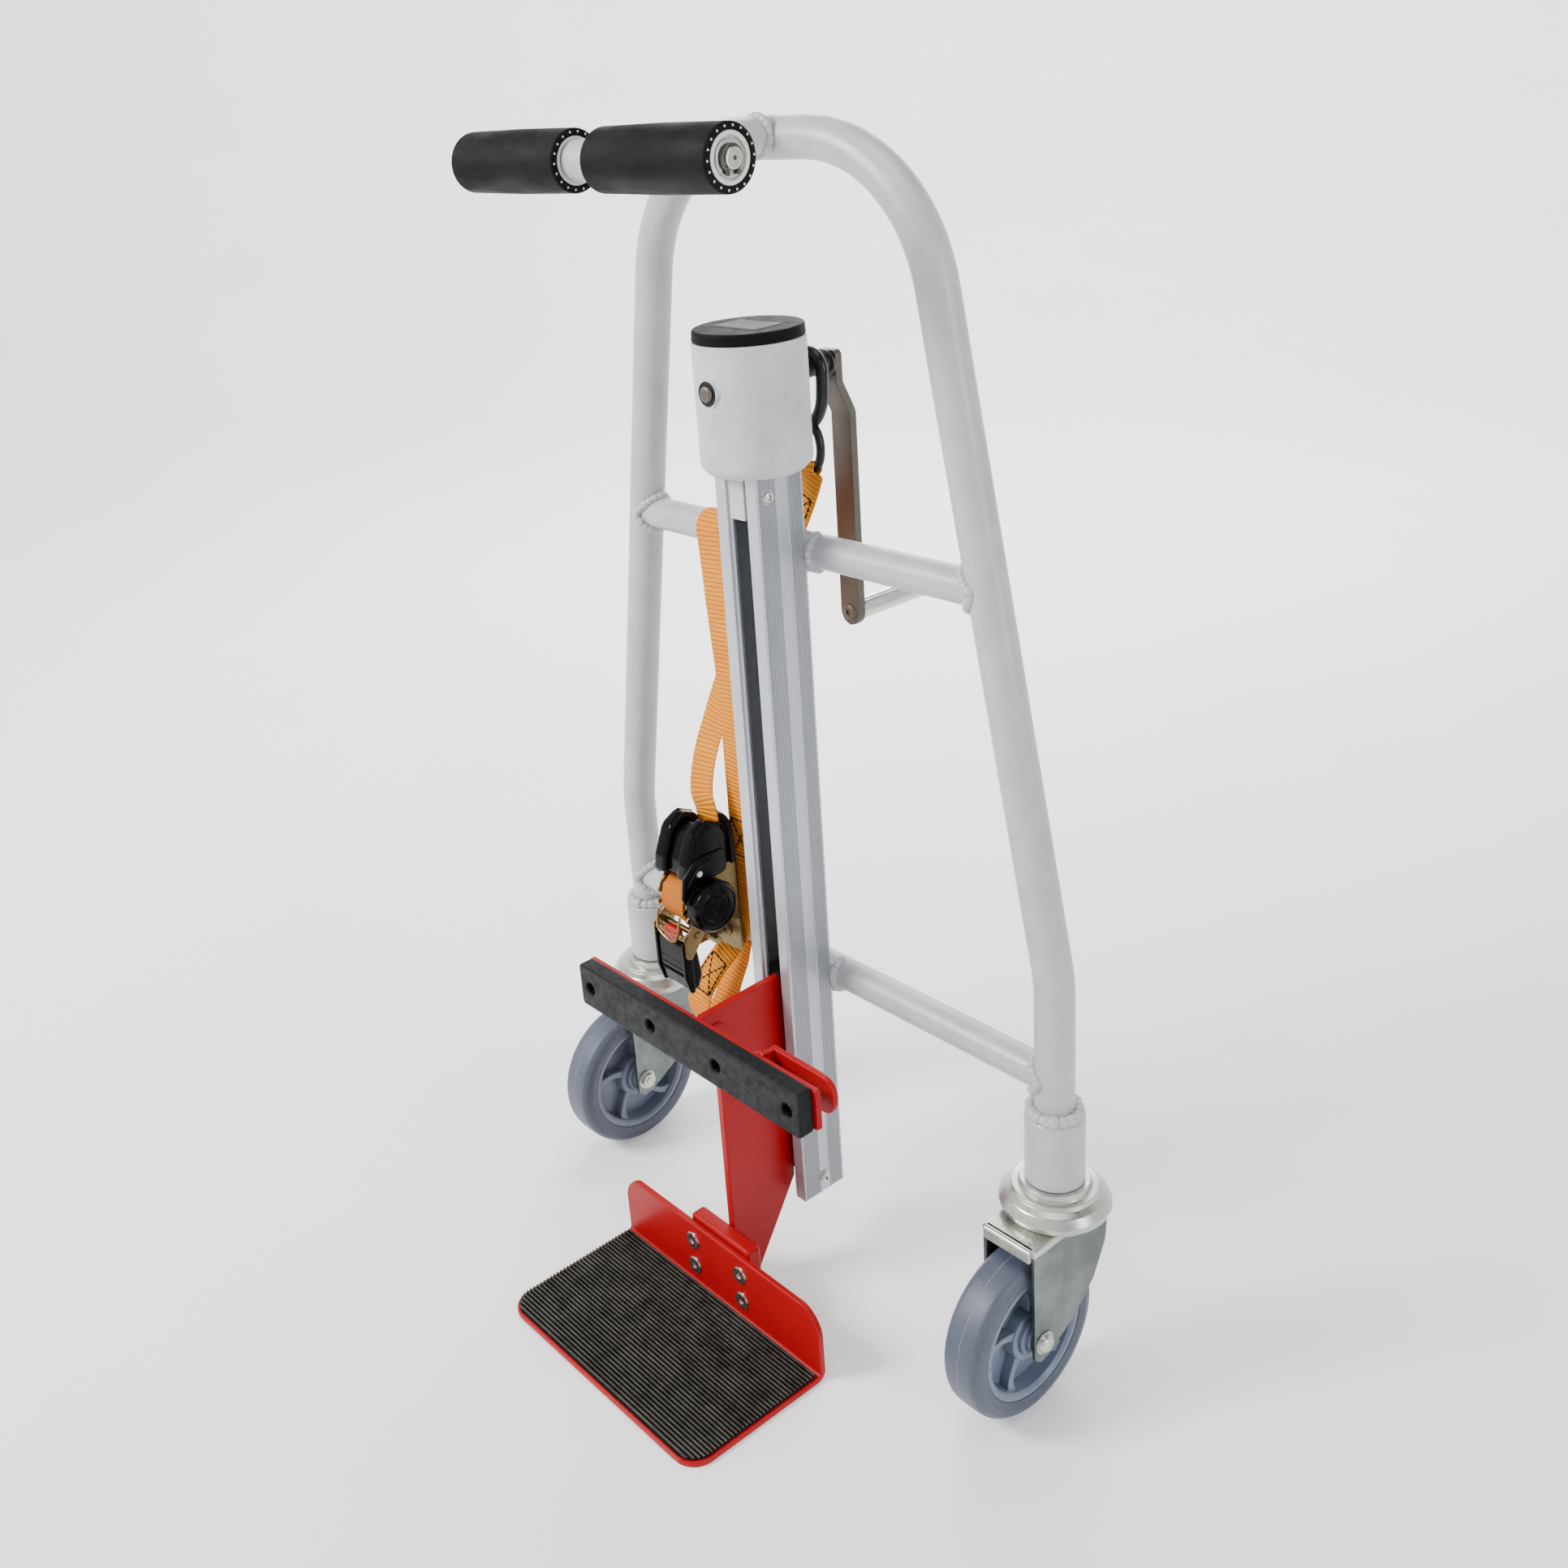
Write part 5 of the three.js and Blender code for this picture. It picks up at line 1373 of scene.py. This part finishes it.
# ---- CAD pieces that stay -----------------------------------------------------------------
for name, material in (("lift_nut", STEEL), ("screw_foot_bearing", STEEL), ("lead_screw", GREASED),
                       ("bevel_gear", GREASED), ("bevel_pinion", GREASED)):
    mesh = nodes[name].data
    mesh.materials.clear()
    mesh.materials.append(material)


# ---- floor and light ----------------------------------------------------------------------
def add_floor():
    material, tree, shader = new_material("studio_floor")
    soft = noise_map(tree, coordinates(tree), 3.0, 3)
    tone = ramp(tree, soft, [(0.3, (0.80, 0.80, 0.805)), (0.7, (0.83, 0.83, 0.83))])
    tree.links.new(tone, shader.inputs["Base Color"])
    shader.inputs["Roughness"].default_value = 0.75
    shader.inputs["Emission Color"].default_value = (1, 1, 1, 1)
    shader.inputs["Emission Strength"].default_value = 0.22
    profile = [(0.0, 0.0), (4.2, 0.0)] + arc(4.2, 3.2, 3.2, -90, 0, 16)[1:] + [(7.4, 8.0)]
    points, faces, _ = turned(profile, "Z", sides=96, closed=False)
    mesh = bpy.data.meshes.new("studio_floor")
    mesh.from_pydata(points, [], faces)
    mesh.materials.append(material)
    mesh.polygons.foreach_set("use_smooth", [True] * len(mesh.polygons))
    floor = bpy.data.objects.new("studio_floor", mesh)
    bpy.context.scene.collection.objects.link(floor)
    floor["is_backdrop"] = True


def add_light(name, spot, target, size, power, tone=(1, 1, 1)):
    data = bpy.data.lights.new(name, "AREA")
    data.shape = "RECTANGLE"
    data.size, data.size_y = size
    data.energy = power
    data.color = tone
    lamp = bpy.data.objects.new(name, data)
    lamp.location = spot
    aim = Vector(target) - Vector(spot)
    lamp.rotation_euler = aim.to_track_quat("-Z", "Y").to_euler()
    bpy.context.scene.collection.objects.link(lamp)


add_floor()
middle = (0, 0, 0.55)
add_light("key_softbox", (-1.3, -2.3, 2.5), middle, (1.0, 1.0), 165, (1.0, 0.985, 0.965))
add_light("side_softbox", (2.7, 0.2, 1.3), middle, (0.6, 1.6), 28, (0.96, 0.98, 1.0))
add_light("back_softbox", (-1.7, 2.3, 1.9), middle, (1.2, 1.4), 30)
add_light("top_softbox", (0.4, -0.2, 3.2), middle, (1.6, 1.6), 34)
add_light("wall_wash", (-1.0, 2.0, 4.2), (-4.6, 4.4, 1.6), (3.0, 3.0), 620)
world = bpy.data.worlds.new("soft_room")
world.use_nodes = True
world.node_tree.nodes["Background"].inputs["Color"].default_value = (0.95, 0.97, 1.0, 1)
world.node_tree.nodes["Background"].inputs["Strength"].default_value = 0.08
bpy.context.scene.world = world

boxes = {"cad": cad_box, "visual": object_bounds()}
{key: [list(corner) for corner in value] for key, value in boxes.items()}
